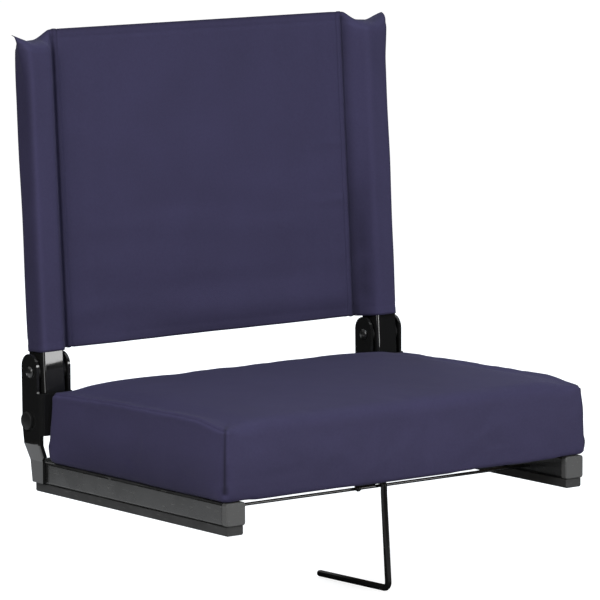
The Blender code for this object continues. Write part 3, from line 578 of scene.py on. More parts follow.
def noise_at(points, scale, shift):
    """Smooth noise from -1 to 1 at each point, with its own scale along each axis."""
    scale = np.broadcast_to(np.asarray(scale, float), 3)
    return np.array([noise.noise(Vector(point)) for point in points * scale + shift])


def waves(points, layer):
    """Noise at each point, from a layer's height, pitch and shift."""
    height, scale, shift = layer
    return height * noise_at(points, scale, shift)


def keep_painted_shading(mesh, shade):
    """Keep on the mesh how much painted shade darkens the cloth, or painted highlights lighten it below zero.
    """
    mark = mesh.attributes.new("painted_shading", "FLOAT", "POINT")
    mark.data.foreach_set("value", np.asarray(shade, np.float32))


def bell(distance, width):
    """A smooth bump that is 1 at no distance."""
    return np.exp(-(distance / width) ** 2)


def dent(distance, shape):
    """A bump, or a groove where its height is below zero, from its height and width."""
    height, width = shape
    return height * bell(distance, width)


def ease(share):
    """A smooth step from 0 to 1."""
    share = min(max(share, 0), 1)
    return share * share * (3 - 2 * share)


def join_rings(bm, rings):
    """Skin rings of equal count, one to the next."""
    count = len(rings[0])
    for first, second in zip(rings, rings[1:]):
        for i in range(count):
            j = (i + 1) % count
            bm.faces.new((first[i], first[j], second[j], second[i]))


class SeatCushion:
    """Builds the boxed cushion: outline, rings, swelling, seams and puckers."""

    def __init__(self, size):
        self.size = size
        self.half = Vector((SEAT_HIGH.x - size.low_bulge, (SEAT_HIGH.y - SEAT_LOW.y) / 2 - size.low_bulge))
        self.middle_y = (SEAT_HIGH.y + SEAT_LOW.y) / 2
        self.bottom = SEAT_LOW.z
        self.top = SEAT_HIGH.z - size.crown
        self.board = BOARD_TOP + CLOTH_GAP - self.bottom
        self.cells = [round(2 * side / size.cell) for side in (self.half.y, self.half.x)] * 2
        self.corners = [sum(self.cells[:quarter]) for quarter in range(4)]
        self.outline = self.plan()

    def plan(self):
        """Points round the seat from corner to corner: place, normal, share of the draw and top radius."""
        points = []
        radius = self.size.corner
        arc = math.pi / 4 * radius
        rounder = self.size.front_edge - self.size.side_edge
        for quarter, cells in enumerate(self.cells):
            angle = quarter * math.pi / 2
            out = Vector((math.cos(angle), math.sin(angle)))
            along = Vector((-out.y, out.x))
            depth, flat = (self.half.x, self.half.y) if quarter % 2 == 0 else (self.half.y, self.half.x)
            flat -= radius
            for step in range(cells):
                run = (2 * flat + 2 * arc) * step / cells - arc
                turn = min(run, 0) / radius + max(run - 2 * flat, 0) / radius
                straight = min(max(run, 0), 2 * flat) - flat
                normal = Vector((math.cos(angle + turn), math.sin(angle + turn)))
                centre = out * (depth - radius) + along * straight
                roll = min(max((flat - abs(straight)) / CORNER_REACH, 0), 1) * (quarter % 2)
                edge = self.size.side_edge + rounder * math.sin(roll * math.pi / 2)
                points.append((centre + normal * radius, normal, 1 - (straight / flat) ** 2, edge))
        return points

    def ring(self, profile):
        """One ring, at the height and inset that its profile gives for the cushion's height there."""
        size = self.size
        ring = []
        for place, normal, middle, edge in self.outline:
            tall = self.top - self.bottom - size.front_rise * place.y / (2 * self.half.y)
            rear = max(place.y / self.half.y, 0) ** 2
            across = abs(place.x) / self.half.x
            tall += size.rear_rise * rear * (1 - min(across, 1) ** 4)
            tall -= size.side_fall * ease((across - FALL_START) / (FALL_END - FALL_START))
            height, of_tall, of_edge, inset, inset_of_edge = profile
            height += of_tall * tall + of_edge * edge
            inset += inset_of_edge * edge
            share = min(max(height / tall, 0), 1)
            bulge = size.low_bulge * share * (1 - share) ** 2 * 27 / 4
            draw = size.side_draw * middle * (1 + math.sin(math.pi * share)) / 2
            spot = place + normal * (bulge - draw - inset)
            between = min(max((HANG_END - across) / HANG_FADE, 0), 1)
            front = max(-place.y / self.half.y, 0) ** 4
            hang = size.front_hang * front * between * max(1 - height / self.board, 0)
            ring.append(Vector((spot.x, spot.y + self.middle_y, self.bottom + height - hang)))
        return ring

    def profiles(self):
        """Hidden rings, then shown ones, from the bottom up.

        Each is a height, its shares of the cushion's height and of the top radius, an inset and its share.
        """
        size = self.size
        inside = size.cloth + CLOTH_GAP
        hidden = [(self.board, 0, 0, inside, 0), (size.cloth, 0, 0, inside, 0)]
        hidden += [(size.cloth, 0, 0, size.lip, 0), (0, 0, 0, size.lip, 0)]
        shown = []
        for step in range(LOW_STEPS + 1):
            angle = step / LOW_STEPS * math.pi / 2
            turned = size.low_edge * (1 - math.cos(angle))
            shown.append((turned, 0, 0, size.low_edge * (1 - math.sin(angle)), 0))
        steps = round((self.top - self.bottom) / size.cell)
        for step in range(1, steps + 1):
            share = step / steps
            shown.append((size.low_edge * (1 - share), share, -share, 0, 0))
        for step in range(1, ROLL_STEPS + 1):
            angle = step / ROLL_STEPS * math.pi / 2
            shown.append((0, 1, math.sin(angle) - 1, 0, 1 - math.cos(angle)))
        return hidden, shown

    def patch(self, bm, rim, crown):
        """Fill a rim with a grid, blended from its four sides and raised to a crown."""
        across, along = self.cells[1], self.cells[0]
        corners = self.corners
        right = rim[:along + 1]
        rear = rim[along:along + across + 1][::-1]
        left = rim[along + across:2 * along + across + 1][::-1]
        front = rim[2 * along + across:] + rim[:1]
        rows = [front]
        for j in range(1, along):
            v = j / along
            row = [left[j]]
            for i in range(1, across):
                u = i / across
                place = left[j].co * (1 - u) + right[j].co * u + front[i].co * (1 - v) + rear[i].co * v
                low = rim[corners[3]].co * (1 - u) + rim[corners[0]].co * u
                high = rim[corners[2]].co * (1 - u) + rim[corners[1]].co * u
                place = place - low * (1 - v) - high * v
                place.z += crown * (1 - (2 * u - 1) ** 2) * (1 - (2 * v - 1) ** 2)
                row.append(bm.verts.new(place))
            rows.append(row + [right[j]])
        rows.append(rear)
        for low, high in zip(rows, rows[1:]):
            for i in range(across):
                bm.faces.new((low[i], low[i + 1], high[i + 1], high[i]))

    def cage(self):
        """The cushion before it swells, with its fixed points; the seams run round its two sides."""
        size = self.size
        inside = size.cloth + CLOTH_GAP
        bm = bmesh.new()
        hidden, shown = self.profiles()
        rings = [[bm.verts.new(point) for point in self.ring(profile)] for profile in hidden + shown]
        join_rings(bm, rings)
        self.patch(bm, rings[-1], size.crown)
        self.patch(bm, rings[0], 0.0)
        for vert in bm.verts:
            front = ease((self.middle_y - self.half.y + DROOP_DEPTH - vert.co.y) / DROOP_DEPTH)
            side = ease((abs(vert.co.x) - self.half.x + DROOP_WIDTH) / DROOP_WIDTH)
            share = min(max((vert.co.z - self.bottom) / (self.top - self.bottom), 0), 1)
            vert.co.z -= size.corner_droop * front * side * share ** 2
        bmesh.ops.recalc_face_normals(bm, faces=bm.faces)
        fixed = {vert for ring in rings[:len(hidden) + LOW_STEPS + 1] for vert in ring}
        for vert in bm.verts:
            within = abs(vert.co.x) < self.half.x - inside
            within = within and abs(vert.co.y - self.middle_y) < self.half.y - inside
            if within and vert.co.z < BOARD_TOP + 2 * CLOTH_GAP:
                fixed.add(vert)
        crease = bm.edges.layers.float.new("crease_edge")
        for ring in rings[:len(hidden)]:
            for first_vert, second_vert in zip(ring, ring[1:] + ring[:1]):
                bm.edges.get((first_vert, second_vert))[crease] = 1.0
        seam_ring = rings[-3]
        for start, cells in zip(self.corners[::2], self.cells[::2]):
            for i in range(start, start + cells):
                bm.edges.get((seam_ring[i], seam_ring[i + 1])).seam = True
        for corner in self.corners:
            sides = rings[len(hidden) + LOW_STEPS:-2]
            for low, high in zip(sides, sides[1:]):
                bm.edges.get((low[corner], high[corner])).seam = True
        return bm, fixed

    def swell(self, bm, fixed):
        """Let the cover swell over the foam as cloth does, and hold each point near where it was."""
        size = self.size
        bm.verts.index_update()
        held = [vert.index for vert in bm.verts if vert in fixed]
        mesh = bpy.data.meshes.new("swelling")
        bm.to_mesh(mesh)
        obj = add_object("swelling", mesh)
        obj.vertex_groups.new(name="held").add(held, 1.0, "REPLACE")
        cloth = obj.modifiers.new("swell", "CLOTH")
        for name, value in COVER_CLOTH.items():
            setattr(cloth.settings, name, value)
        cloth.settings.shrink_min = -size.slack
        cloth.settings.uniform_pressure_force = size.pressure
        cloth.settings.effector_weights.gravity = 0.0
        cloth.point_cache.frame_start = 1
        cloth.point_cache.frame_end = SWELL_FRAMES
        for step in range(1, SWELL_FRAMES + 1):
            bpy.context.scene.frame_set(step)
        graph = bpy.context.evaluated_depsgraph_get()
        places = mesh_array(obj.evaluated_get(graph).data, "co")
        bpy.context.scene.frame_set(1)
        bpy.data.objects.remove(obj)
        bpy.data.meshes.remove(mesh)
        for vert, place in zip(bm.verts, places):
            move = Vector(place) - vert.co
            if vert.co.z < BOARD_TOP + size.cell:
                move -= vert.normal * min(move.dot(vert.normal), 0)
            if vert not in fixed:
                vert.co += move * min(1, size.swell_limit / max(move.length, 1e-9))

    def seam_tree(self, bm):
        """Close samples along every seam, to measure distances from."""
        spots = []
        for edge in bm.edges:
            if edge.seam:
                first, second = edge.verts
                spots += [first.co.lerp(second.co, share) for share in (0.0, 0.25, 0.5, 0.75)]
        tree = KDTree(len(spots))
        for i, spot in enumerate(spots):
            tree.insert(spot, i)
        tree.balance()
        return tree

    def build(self):
        """The finished mesh: swollen, seamed and puckered."""
        bm, fixed = self.cage()
        slack = bm.verts.layers.float.new("slack")
        for vert in bm.verts:
            vert[slack] = 0.0 if vert in fixed else 1.0
        self.swell(bm, fixed)
        tree = self.seam_tree(bm)
        seams = [edge for edge in bm.edges if edge.seam]
        bmesh.ops.bevel(bm, geom=seams, offset=SEAM_HALF_WIDTH, segments=2, profile=0.5, affect="EDGES")
        mesh = refined(bm, 1)
        self.pucker(mesh, tree)
        return mesh

    def pucker(self, mesh, tree):
        """Sink the seams, crease the cloth round them, and keep its painted shade and painted highlights."""
        points = mesh_array(mesh, "co")
        normals = mesh_array(mesh, "normal")
        free = np.empty(len(points))
        mesh.attributes["slack"].data.foreach_get("value", free)
        away = np.array([tree.find(Vector(point))[2] for point in points])
        low = (points[:, 2] - self.bottom) / (self.top - self.bottom)
        level = np.clip(low, 0, 1)
        lift = dent(away, SEAM_GROOVE) + dent(away - RIDGE_PLACE, SEAM_RIDGE)
        lift += waves(points, SEAM_PUCKERS) * np.exp(-away / PUCKER_REACH)
        lift += waves(points, SOFT_WAVES) + waves(points, FINE_WAVES)
        lift += waves(points, LOW_FOLDS) * np.exp(-level / LOW_REACH) * (low < 0.98)
        corner_x = np.abs(np.abs(points[:, 0]) - self.half.x)
        corner_y = np.abs(np.abs(points[:, 1] - self.middle_y) - self.half.y)
        corner = np.exp(-(corner_x + corner_y) / FOLD_REACH) * np.exp(-level / FOLD_HEIGHT)
        lift += (CORNER_LIFT + waves(points @ FOLD_AXES, CORNER_FOLDS)) * corner
        deepest = -FOOT_SINK - MORE_SINK * np.clip(low / 0.3, 0, 1)
        lift = np.maximum(lift, deepest) * np.clip(low / 0.10, 0, 1)
        points += normals * (lift * np.clip(free, 0, 1))[:, None]
        deep = (points[:, 1] - self.middle_y) / self.half.y
        rim = np.clip((np.abs(points[:, 0]) - RIM_START) / (self.half.x - RIM_START), 0, 1)
        bow = self.size.side_bow * np.clip(1 - deep ** 2, 0, 1) * rim ** 2 * (3 - 2 * rim)
        points[:, 2] += bow * level ** 2
        mesh.vertices.foreach_set("co", points.ravel())
        # Painted shade at the upright seams and low on the two sides, and painted highlights along all seams
        upright = dent(corner_x - corner_y, UPRIGHT_SHADE)
        upright *= np.exp(-(corner_x + corner_y) / 0.02) * (low > 0.12)
        foot = np.clip(1 - low / 0.6, 0, 1) * np.exp(-corner_x / 0.012) * (1 - np.exp(-corner_y / 0.03))
        keep_painted_shading(mesh, upright - dent(away, SEAM_LIGHT) + FOOT_SHADE * foot)
        mesh.attributes.remove(mesh.attributes["slack"])
        mesh.update()


def outer_hull(points):
    """The convex outline of points in a plane, anticlockwise."""
    ordered = sorted(points)
    halves = []
    for run in (ordered, ordered[::-1]):
        chain = []
        for point in run:
            while len(chain) > 1:
                first = (chain[-1][0] - chain[-2][0], chain[-1][1] - chain[-2][1])
                second = (point[0] - chain[-1][0], point[1] - chain[-1][1])
                if first[0] * second[1] - first[1] * second[0] > 0:
                    break
                chain.pop()
            chain.append(point)
        halves += chain[:-1]
    return halves


def spaced_points(path, count):
    """That many points along a path, evenly spaced, ends included."""
    path = np.array(path)
    runs = np.concatenate([[0], np.cumsum(np.linalg.norm(np.diff(path, axis=0), axis=1))])
    places = np.linspace(0, runs[-1], count)
    return np.stack([np.interp(places, runs, path[:, axis]) for axis in range(2)], axis=1)


class BackCover:
    """Builds the back: a doubled panel between two sleeves, dipped over the posts, with pointed corners."""

    def __init__(self, size):
        self.size = size
        self.seam_x = POST_X - size.seam_gap
        self.sleeve = self.sleeve_section(0.0)
        self.pocket = self.sleeve_section(size.cloth)

    def sleeve_section(self, inset):
        """A sleeve's section from its front seam round the post to its back seam, from the post's middle."""
        size = self.size
        reach = POST_HALF + SLEEVE_EASE + size.cloth - inset
        radius = SLEEVE_CORNER - inset
        box = []
        for quarter in range(4):
            middle = (quarter + 0.5) * math.pi / 2
            centre_x = math.copysign(reach - radius, math.cos(middle))
            centre_y = math.copysign(reach - radius, math.sin(middle))
            for step in range(7):
                angle = (quarter + step / 6) * math.pi / 2
                box.append((centre_x + radius * math.cos(angle), centre_y + radius * math.sin(angle)))
        half = max(size.seam_depth / 2 - inset, 0.0002)
        front = (-size.seam_gap + 2 * inset, size.setback + SLOT_DEPTH - half)
        back = (-size.seam_gap + 2 * inset, size.setback + SLOT_DEPTH + half)
        hull = outer_hull(box + [front, back])
        start = hull.index(front)
        path = hull[start:] + hull[:start]
        if path[1] == back:
            path = [path[0]] + path[:0:-1]
        return spaced_points(path, SLEEVE_POINTS)

    def panel_stations(self):
        """Places across the panel from left to right, closer where it is sewn."""
        inner = self.seam_x - FELL_WIDTH
        lines = [self.seam_x - 0.0015, self.seam_x - 0.003]
        lines += [inner + 0.0012, inner, inner - 0.0012, inner - 0.003]
        count = round(2 * (inner - 0.004) / 0.006)
        middle = list(np.linspace(-(inner - 0.005), inner - 0.005, count))
        return [-x for x in lines] + middle + lines[::-1]

    def top_edge(self, x):
        """Height of the top edge: level over the panel, dipped over a post, up again at the corner."""
        size = self.size
        along = (abs(x) - self.seam_x) / size.sleeve_flat
        if along <= 0:
            return size.panel_top
        if along <= LOWEST:
            fall = min(along / (0.6 * LOWEST), 1)
            share = 0.8 * fall ** 2 * (3 - 2 * fall) + 0.2 * along / LOWEST
            return size.panel_top + (size.dip - size.panel_top) * share
        rise = min((along - LOWEST) / (1 - LOWEST), 1)
        return size.dip + (size.ear - size.dip) * rise

    def section(self):
        """The closed section as columns of (wrapped place, flat place), in order round the cover."""
        size = self.size
        half = size.panel_depth / 2
        stations = self.panel_stations()
        front = [((x, size.setback - half),) * 2 for x in stations]
        back = [((x, size.setback + half),) * 2 for x in stations[::-1]]
        right = []
        for i, (x, y) in enumerate(self.sleeve):
            share = 1 - abs(2 * i / (SLEEVE_POINTS - 1) - 1)
            layer = size.seam_depth / 2 * np.sign(2 * i - (SLEEVE_POINTS - 1))
            flat_x = self.seam_x + size.sleeve_flat * share
            right.append(((POST_X + x, y), (flat_x, size.setback + SLOT_DEPTH * (1 - share) + layer)))
        left = [((-wrapped[0], wrapped[1]), (-flat[0], flat[1])) for wrapped, flat in right[::-1]]
        return front + right + back + left, len(front)

    def ring(self, columns, rise, crest):
        """One ring: straight up to the shoulder, then drawn flat to the top edge, with the corners flared."""
        size = self.size
        wrap = math.sqrt(max(1 - crest ** 2, 0))
        ring = []
        for wrapped, flat in columns:
            z = size.hem + (size.shoulder - size.hem) * rise
            above = self.top_edge(flat[0]) - size.shoulder
            z += above * crest
            flare = max((z - size.shoulder + FLARE) / (above + FLARE), 0) ** 1.4
            sleeve = max((abs(flat[0]) - self.seam_x) / size.sleeve_flat, 0)
            outward = min(max((sleeve - 0.6) / 0.3, 0), 1)
            x = wrapped[0] + (flat[0] - wrapped[0]) * (flare * outward + (1 - wrap) * (1 - outward))
            x += math.copysign(size.puff * math.sin(math.pi * min(flare, 1)) * sleeve ** 3, x)
            y = wrap * wrapped[1] + (1 - wrap) * flat[1]
            outer = max((abs(flat[0]) - POST_X) / (size.sleeve_flat - size.seam_gap), 0)
            y -= size.curl * outer ** 2 * crest ** 2
            upward = math.sin(math.pi * min(rise * 0.9 + crest * 0.1, 1))
            y += size.bow * max(1 - (x / self.seam_x) ** 2, 0) * upward
            ring.append((x, y, z))
        return ring

    def build(self):
        """The finished mesh, in the back's own upright frame."""
        columns, panel = self.section()
        count = len(columns)
        levels = [(step / RISE_STEPS, 0) for step in range(RISE_STEPS + 1)]
        levels += [(1, math.sin(step / CREST_STEPS * math.pi / 2)) for step in range(1, CREST_STEPS + 1)]
        bm = bmesh.new()
        outer = bm.verts.layers.float.new("outer")
        tip = bm.verts.layers.float.new("crease_vert")
        rings = [[bm.verts.new(point) for point in self.ring(columns, *level)] for level in levels]
        for vert in bm.verts:
            vert[outer] = 1.0
        join_rings(bm, rings)
        crease = bm.edges.layers.float.new("crease_edge")
        for ring in (rings[0], rings[-1]):
            for i in range(count):
                bm.edges.get((ring[i], ring[(i + 1) % count]))[crease] = 0.7
            far = ring[panel + SLEEVE_POINTS:2 * panel + SLEEVE_POINTS][::-1]
            near = [ring[-1]] + ring[:panel] + [ring[panel]]
            far = [ring[2 * panel + SLEEVE_POINTS]] + far + [ring[panel + SLEEVE_POINTS - 1]]
            for i in range(panel + 1):
                bm.faces.new((near[i], near[i + 1], far[i + 1], far[i]))
        starts = (panel, 2 * panel + SLEEVE_POINTS)
        for start in starts:
            crest = rings[-1][start:start + SLEEVE_POINTS]
            crest[SLEEVE_POINTS // 2][tip] = 1.0
            for i in range(SLEEVE_POINTS // 2):
                corners = (crest[i], crest[i + 1], crest[-2 - i], crest[-1 - i])
                bm.faces.new(list(dict.fromkeys(corners)))
        for start, hand in zip(starts, (1, -1)):
            self.add_pocket(bm, rings[0][start:start + SLEEVE_POINTS], hand)
        bmesh.ops.recalc_face_normals(bm, faces=bm.faces)
        mesh = refined(bm, 1)
        self.crumple(mesh)
        return mesh

    def add_pocket(self, bm, hem, hand):
        """The inside of one sleeve, from the hem's turned edge to its closed top."""
        size = self.size
        path = self.pocket if hand > 0 else [(-x, y) for x, y in self.pocket[::-1]]
        top = size.shoulder - size.cloth / 2
        steps = RISE_STEPS // 4
        walls = []
        for step in range(steps + 1):
            z = size.hem + (top - size.hem) * step / steps
            walls.append([bm.verts.new((hand * POST_X + x, y, z)) for x, y in path])
        for low, high in zip([hem] + walls, walls):
            for i in range(SLEEVE_POINTS):
                j = (i + 1) % SLEEVE_POINTS
                bm.faces.new((low[i], low[j], high[j], high[i]))
        bm.faces.new(walls[-1])

    def crumple(self, mesh):
        """The seams, hem, folds beside the seams, soft waves, and the cloth's painted shade and highlights."""
        points = mesh_array(mesh, "co")
        normals = mesh_array(mesh, "normal")
        x, z = points[:, 0], points[:, 2]
        across = np.abs(x)
        on_panel = across < self.seam_x + 0.004
        top = np.vectorize(self.top_edge)
        outside = np.empty(len(points))
        mesh.attributes["outer"].data.foreach_get("value", outside)
        mesh.attributes.remove(mesh.attributes["outer"])
        lift = dent(across - self.seam_x, STITCH_GROOVE)
        lift += dent(across - self.seam_x + FELL_WIDTH, FELL_GROOVE) * on_panel
        lift += dent(across - self.seam_x + FELL_WIDTH / 2, FELL_RIDGE) * on_panel
        lift += dent(z - self.size.hem - HEM_WIDTH, HEM_GROOVE)
        lift += dent(z - top(x) + HEM_WIDTH, STITCH_GROOVE)
        lift += waves(points, SEAM_CREASES) * bell(across - self.seam_x, 0.010)
        points += normals * (lift * outside)[:, None]
        over_hem = np.clip(z - self.size.hem, 0, 1)
        # Painted shade at the seams, top edge, a fold by the right seam and the sleeves' outer faces, a darker
        # band above the hem,
        # and painted highlights on the sleeves' front ridges and the upper part of their inner faces
        shade = dent(across - self.seam_x, SEAM_SHADE) * (z < self.size.panel_top - 0.004)
        shade *= np.where(x < 0, LEFT_SEAM_SHARE, 1.0)
        shade += HEM_SHADE * np.exp(-over_hem / 0.016) * on_panel
        shade += dent(z - top(x), TOP_SHADE)
        fold = bell(x - self.seam_x - 0.008, 0.005) * np.clip(1.2 - z / 0.16, 0, 1)
        shade += FOLD_SHADE * fold * (1 + waves(points, FOLD_MOTTLE))
        outward = normals[:, 0] * np.sign(x) * (across > self.seam_x)
        shade += OUTER_SHADE * np.clip(outward, 0, 1) ** 2
        shade -= RIDGE_LIGHT * bell(outward - 0.45, 0.2) * (normals[:, 1] < 0)
        shade -= INNER_LIGHT * np.clip(-outward, 0, 1) * np.clip((z - 0.12) / 0.1, 0, 1)
        keep_painted_shading(mesh, shade)
        beside = np.exp(-np.clip(self.seam_x - across, 0, 1) / 0.030)
        sway = waves(points, SEAM_WAVES) * beside
        sway += waves(points, PANEL_WAVES) * bell(across, 0.13)
        sway += waves(points, HEM_WAVES) * np.exp(-over_hem / 0.02)
        slump = np.exp(-over_hem / 0.05) + 0.4 * bell(z - SAG_HEIGHT, 0.02)
        sway += waves(points, SLUMP_FOLDS) * slump
        pulls = bell(z - PULL_HEIGHTS[0], 0.005) + 0.7 * bell(z - PULL_HEIGHTS[1], 0.004)
        sway -= PULL_DEPTH * pulls * np.exp(-np.clip(self.seam_x - x, 0, 1) / 0.035)
        points[:, 1] += sway * np.clip((self.seam_x - across) / 0.012, 0, 1)
        sleeve = np.clip((across - self.seam_x) / 0.008, 0, 1) * outside
        points += normals * (waves(points, SLEEVE_WAVES) * sleeve)[:, None]
        mesh.vertices.foreach_set("co", points.ravel())
        mesh.update()


class BLEACHER_OT_seat_cushion(bpy.types.Operator):
    """Make the boxed cushion that stands for the cover and its foam."""

    bl_idname = "bleacher.seat_cushion"
    bl_label = "Seat cushion"

    def execute(self, context):
        mesh = SeatCushion(context.scene.bleacher_cushion).build()
        mesh.name = "seat_cushion"
        hidden = ("seat_cover", "seat_foam")
        cushion = piece("seat_cushion", mesh, navy_canvas(), "base", hidden)
        return {"FINISHED"}


class BLEACHER_OT_back_cover(bpy.types.Operator):
    """Make the fabric back with its two sleeves."""

    bl_idname = "bleacher.back_cover"
    bl_label = "Back cover"

    def execute(self, context):
        size = context.scene.bleacher_back
        cover = BackCover(size)
        mesh = cover.build()
        mesh.name = "fabric_back"
        place = Matrix.Translation(HINGE["back_fold"]) @ Matrix.Rotation(-size.lean, 4, "X")
        back = piece("fabric_back", mesh, navy_canvas(), "backrest", ("back_cover",), place)
        return {"FINISHED"}


class BLEACHER_OT_rails(bpy.types.Operator):
    """Finish the rails, their caps and the foot strips."""

    bl_idname = "bleacher.rails"
    bl_label = "Rails and feet"

    def execute(self, context):
        finish = context.scene.bleacher_finish
        powder = coated("Powder coat", finish.rail, 0.26, grain=1400.0, bump=0.06, dust=0.1, specular=0.38)
        plastic = coated("Moulded cap", finish.cap, 0.48, grain=1800.0, bump=0.15, dust=0.1, specular=0.3)
        rubber = coated("Ribbed rubber", finish.rubber, 0.65, grain=700.0, bump=0.3, dust=0.1, specular=0.3)
        for side in SIDES:
            finish_node(side + "_rail", powder, bevel=0.0002)
            finish_node(side + "_front_cap", plastic, bevel=0.0005)
            finish_node(side + "_rear_cap", plastic, bevel=0.0005)
            finish_node(side + "_foot_strip", rubber, bevel=0.0006)
        return {"FINISHED"}


class BLEACHER_OT_hinges(bpy.types.Operator):
    """Finish the brackets, posts, rivets, washers, plugs and the rear tube."""

    bl_idname = "bleacher.hinges"
    bl_label = "Hinges and posts"

    def execute(self, context):
        finish = context.scene.bleacher_finish
        enamel = gloss_enamel(finish)
        steel = coated("Blackened rivet", finish.plug, 0.3, grain=600.0, bump=0.03, scuffs=0.1, dust=0.03)
        plastic = coated(
            "Black plastic", finish.plug, 0.5, grain=1500.0, bump=0.04, scuffs=0.1, dust=0.03, specular=0.12)
        for side in SIDES:
            finish_node(side + "_hinge_bracket", enamel, bevel=0.0014, segments=4, angle=12)
            finish_node(side + "_back_post", enamel, bevel=0.0002)
            finish_node(side + "_pivot_rivet", steel, bevel=0.0004)
            for name in ("_outer_washer", "_inner_washer", "_post_top_plug", "_post_tail_plug", "_tube_plug"):
                finish_node(side + name, plastic, bevel=0.0003)
        finish_node("rear_cross_tube", enamel, bevel=0.0002)
        return {"FINISHED"}


class BLEACHER_OT_hook(bpy.types.Operator):
    """Finish the cross rod and the hook that swings on it."""

    bl_idname = "bleacher.hook"
    bl_label = "Hook and rod"

    def execute(self, context):
        finish = context.scene.bleacher_finish
        dipped = coated(
            "Dipped hook", finish.enamel, 0.14, grain=180.0, bump=0.03, scuffs=0.05, dust=0.01, specular=0.16)
        finish_node("front_cross_rod", gloss_enamel(finish), bevel=0.0002, angle=60)
        finish_node("bleacher_hook", dipped, bevel=0.0002, angle=60)
        return {"FINISHED"}


class BLEACHER_OT_seat_board(bpy.types.Operator):
    """Finish the plywood board and its screws."""

    bl_idname = "bleacher.seat_board"
    bl_label = "Seat board and screws"

    def execute(self, context):
        finish = context.scene.bleacher_finish
        finish_node("seat_board", plywood_face(finish.plywood), bevel=0.0005)
        zinc = coated("Zinc plating", finish.zinc, 0.35, grain=800.0, bump=0.1, metallic=1.0)
        for side in SIDES:
            for name in ("_front_screw", "_middle_screw", "_rear_screw"):
                finish_node(side + name, zinc, bevel=0.0002)
        return {"FINISHED"}


def seen_directly(tree):
    """A mask of the rays that show the background: camera, glossy and transmission rays."""
    rays = add_node(tree, "LightPath").outputs
    shown = math_node(tree, "MAXIMUM", rays["Is Camera Ray"], rays["Is Glossy Ray"])
    return math_node(tree, "MAXIMUM", shown, rays["Is Transmission Ray"])


def make_world(ambient):
    """Even light from all round, seen as white."""
    world = bpy.data.worlds.new("studio")
    bpy.context.scene.world = world
    world.use_nodes = True
    tree = world.node_tree
    tree.nodes.clear()
    light = add_node(tree, "Background", {"Color": (1, 1, 1, 1), "Strength": ambient}).outputs[0]
    white = add_node(tree, "Background", {"Color": (1, 1, 1, 1), "Strength": 1.0}).outputs[0]
    both = add_node(tree, "MixShader", {0: seen_directly(tree), 1: light, 2: white}).outputs[0]
    add_node(tree, "OutputWorld", {"Surface": both})


def floor_paint():
    """Pale floor that shows white with a soft shadow, and lights the seat as plain paint."""
    made = bpy.data.materials.new("pale_floor")
    made.use_nodes = True
    tree = made.node_tree
    tree.nodes.clear()
    paint = add_node(tree, "BsdfDiffuse", {"Color": (0.32, 0.32, 0.32, 1)}).outputs[0]
    shadow = add_node(tree, "BsdfDiffuse", {"Color": (0.40, 0.40, 0.40, 1)}).outputs[0]
    place = add_node(tree, "NewGeometry").outputs["Position"]
    away = add_node(tree, "VectorMath", {0: place}, operation="LENGTH").outputs["Value"]
    level = add_node(tree, "MapRange", {
        "Value": away, "From Min": 0.8, "From Max": 3.0, "To Min": 0.86, "To Max": 0.93}).outputs[0]
    glow = add_node(tree, "Emission", {"Color": (1, 1, 1, 1), "Strength": level}).outputs[0]
    white = add_node(tree, "AddShader", {0: shadow, 1: glow}).outputs[0]
    both = add_node(tree, "MixShader", {0: seen_directly(tree), 1: paint, 2: white}).outputs[0]
    add_node(tree, "OutputMaterial", {"Surface": both})
    return made


def make_floor(width):
    """A flat floor just under the hook's lowest point."""
    bm = bmesh.new()
    bmesh.ops.create_grid(bm, x_segments=1, y_segments=1, size=width / 2)
    mesh = to_mesh(bm, "floor")
    mesh.materials.append(floor_paint())
    floor = add_object("floor", mesh)
    floor.location.z = CAD_BOX[0][2] - FLOOR_GAP


def softbox(name, place, aim, size, power, tint=(1.0, 1.0, 1.0)):
    """A rectangular area lamp turned towards a point."""
    lamp = bpy.data.lights.new(name, "AREA")
    lamp.shape = "RECTANGLE"
    lamp.size, lamp.size_y = size
    lamp.energy = power
    lamp.color = tint
    obj = add_object(name, lamp)
    obj.location = place
    obj.rotation_mode = "QUATERNION"
    obj.rotation_quaternion = (Vector(aim) - Vector(place)).to_track_quat("-Z", "Y")
    return obj


def dark_surround():
    """A black bowl and a card under the seat, seen only in reflections, to keep gloss black dark."""
    bm = bmesh.new()
    rings = []
    # The bowl gives painted dark reflections all round
    for radius, height in SURROUND:
        ring = []
        for step in range(SURROUND_SIDES):
            turn = step / SURROUND_SIDES * 2 * math.pi
            ring.append(bm.verts.new((radius * math.cos(turn), radius * math.sin(turn), height)))
        rings.append(ring)
    join_rings(bm, rings)
    # The card is a painted shadow of the seat on the floor, seen only in reflections
    bm.faces.new([bm.verts.new((x, y, SURROUND[0][1])) for x, y in UNDER_SEAT])
    mesh = to_mesh(bm, "dark_surround")
    made, tree, shader = new_material("Dark surround")
    set_inputs(tree, shader, {"Base Color": (0.01, 0.01, 0.01, 1), "Specular IOR Level": 0.0})
    mesh.materials.append(made)
    bowl = add_object("dark_surround", mesh)
    bowl.location = SURROUND_PLACE
    bowl.visible_camera = False
    bowl.visible_diffuse = False
    bowl.visible_shadow = False


def make_camera(stage):
    """A camera at the photograph's place."""
    lens = bpy.data.cameras.new("camera")
    lens.sensor_width = 36.0
    lens.lens = stage.lens
    camera = add_object("camera", lens)
    flat = math.cos(stage.elevation)
    rise = math.sin(stage.elevation)
    back = Vector((math.sin(stage.azimuth) * flat, -math.cos(stage.azimuth) * flat, rise))
    camera.location = Vector(stage.aim) + back * stage.distance
    camera.rotation_mode = "QUATERNION"
    camera.rotation_quaternion = (-back).to_track_quat("-Z", "Y") @ Quaternion((0, 0, 1), stage.roll)
    bpy.context.scene.camera = camera


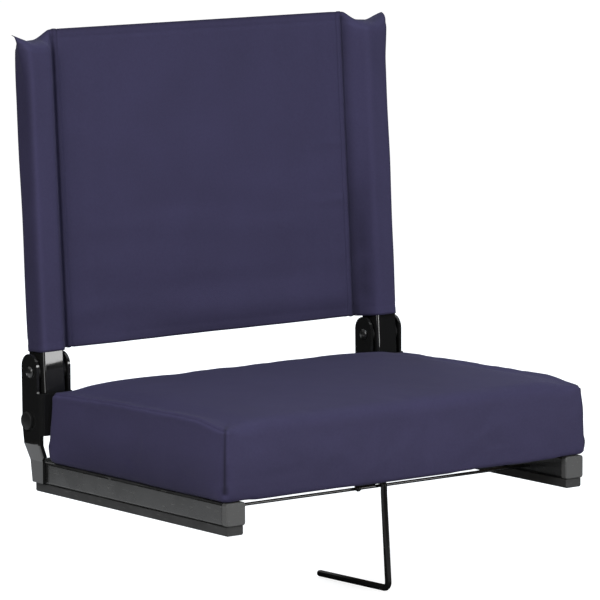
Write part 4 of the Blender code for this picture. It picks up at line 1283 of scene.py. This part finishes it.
class BLEACHER_OT_stage(bpy.types.Operator):
    """Set up the floor, the lamps and the camera."""

    bl_idname = "bleacher.stage"
    bl_label = "Stage"

    def execute(self, context):
        stage = context.scene.bleacher_stage
        context.scene.view_settings.view_transform = "Standard"
        make_world(stage.ambient)
        make_floor(stage.floor_width)
        softbox("key_softbox", (0.75, -1.45, 0.305), (0.0, 0.0, 0.305), (0.7, 0.52), stage.key)
        softbox("fill_softbox", (-1.75, -0.95, 1.25), (0.0, 0.0, 0.2), (0.9, 0.9), stage.fill)
        rear = softbox("rear_softbox", (0.6, 1.8, 1.3), (0.0, 0.0, 0.2), (0.9, 0.9), stage.rear, SKY_TINT)
        rear.visible_glossy = False
        softbox("edge_softbox", (-0.95, -0.66, 0.03), (0.0, 0.1, 0.1), (0.5, 0.22), stage.edge)
        softbox("top_softbox", (0.1, -0.5, 1.9), (0.0, 0.0, 0.1), (1.4, 1.4), stage.top, SKY_TINT)
        dark_surround()
        make_camera(stage)
        return {"FINISHED"}


OPERATORS = (
    BLEACHER_OT_seat_cushion,
    BLEACHER_OT_back_cover,
    BLEACHER_OT_rails,
    BLEACHER_OT_hinges,
    BLEACHER_OT_hook,
    BLEACHER_OT_seat_board,
    BLEACHER_OT_stage,
)


class BLEACHER_PT_seat(bpy.types.Panel):
    """Lists the steps that dress the seat."""

    bl_idname = "BLEACHER_PT_seat"
    bl_label = "Bleacher seat"
    bl_space_type = "VIEW_3D"
    bl_region_type = "UI"
    bl_category = PANEL_TAB

    def draw(self, context):
        for operator in OPERATORS:
            self.layout.operator(operator.bl_idname)


SETTINGS = {
    "bleacher_cushion": CushionSettings,
    "bleacher_back": BackSettings,
    "bleacher_finish": FinishSettings,
    "bleacher_stage": StageSettings,
}


def register():
    """Register the settings, the operators and the panel."""
    for name, group in SETTINGS.items():
        bpy.utils.register_class(group)
        setattr(bpy.types.Scene, name, PointerProperty(type=group))
    for made in (*OPERATORS, BLEACHER_PT_seat):
        bpy.utils.register_class(made)


def unregister():
    """Undo register."""
    for made in (BLEACHER_PT_seat, *reversed(OPERATORS)):
        bpy.utils.unregister_class(made)
    for name, group in SETTINGS.items():
        delattr(bpy.types.Scene, name)
        bpy.utils.unregister_class(group)


def main():
    """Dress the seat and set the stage."""
    register()
    bpy.ops.bleacher.stage()
    bpy.ops.bleacher.seat_cushion()
    bpy.ops.bleacher.back_cover()
    bpy.ops.bleacher.rails()
    bpy.ops.bleacher.hinges()
    bpy.ops.bleacher.hook()
    bpy.ops.bleacher.seat_board()


if __name__ == "__main__":
    main()
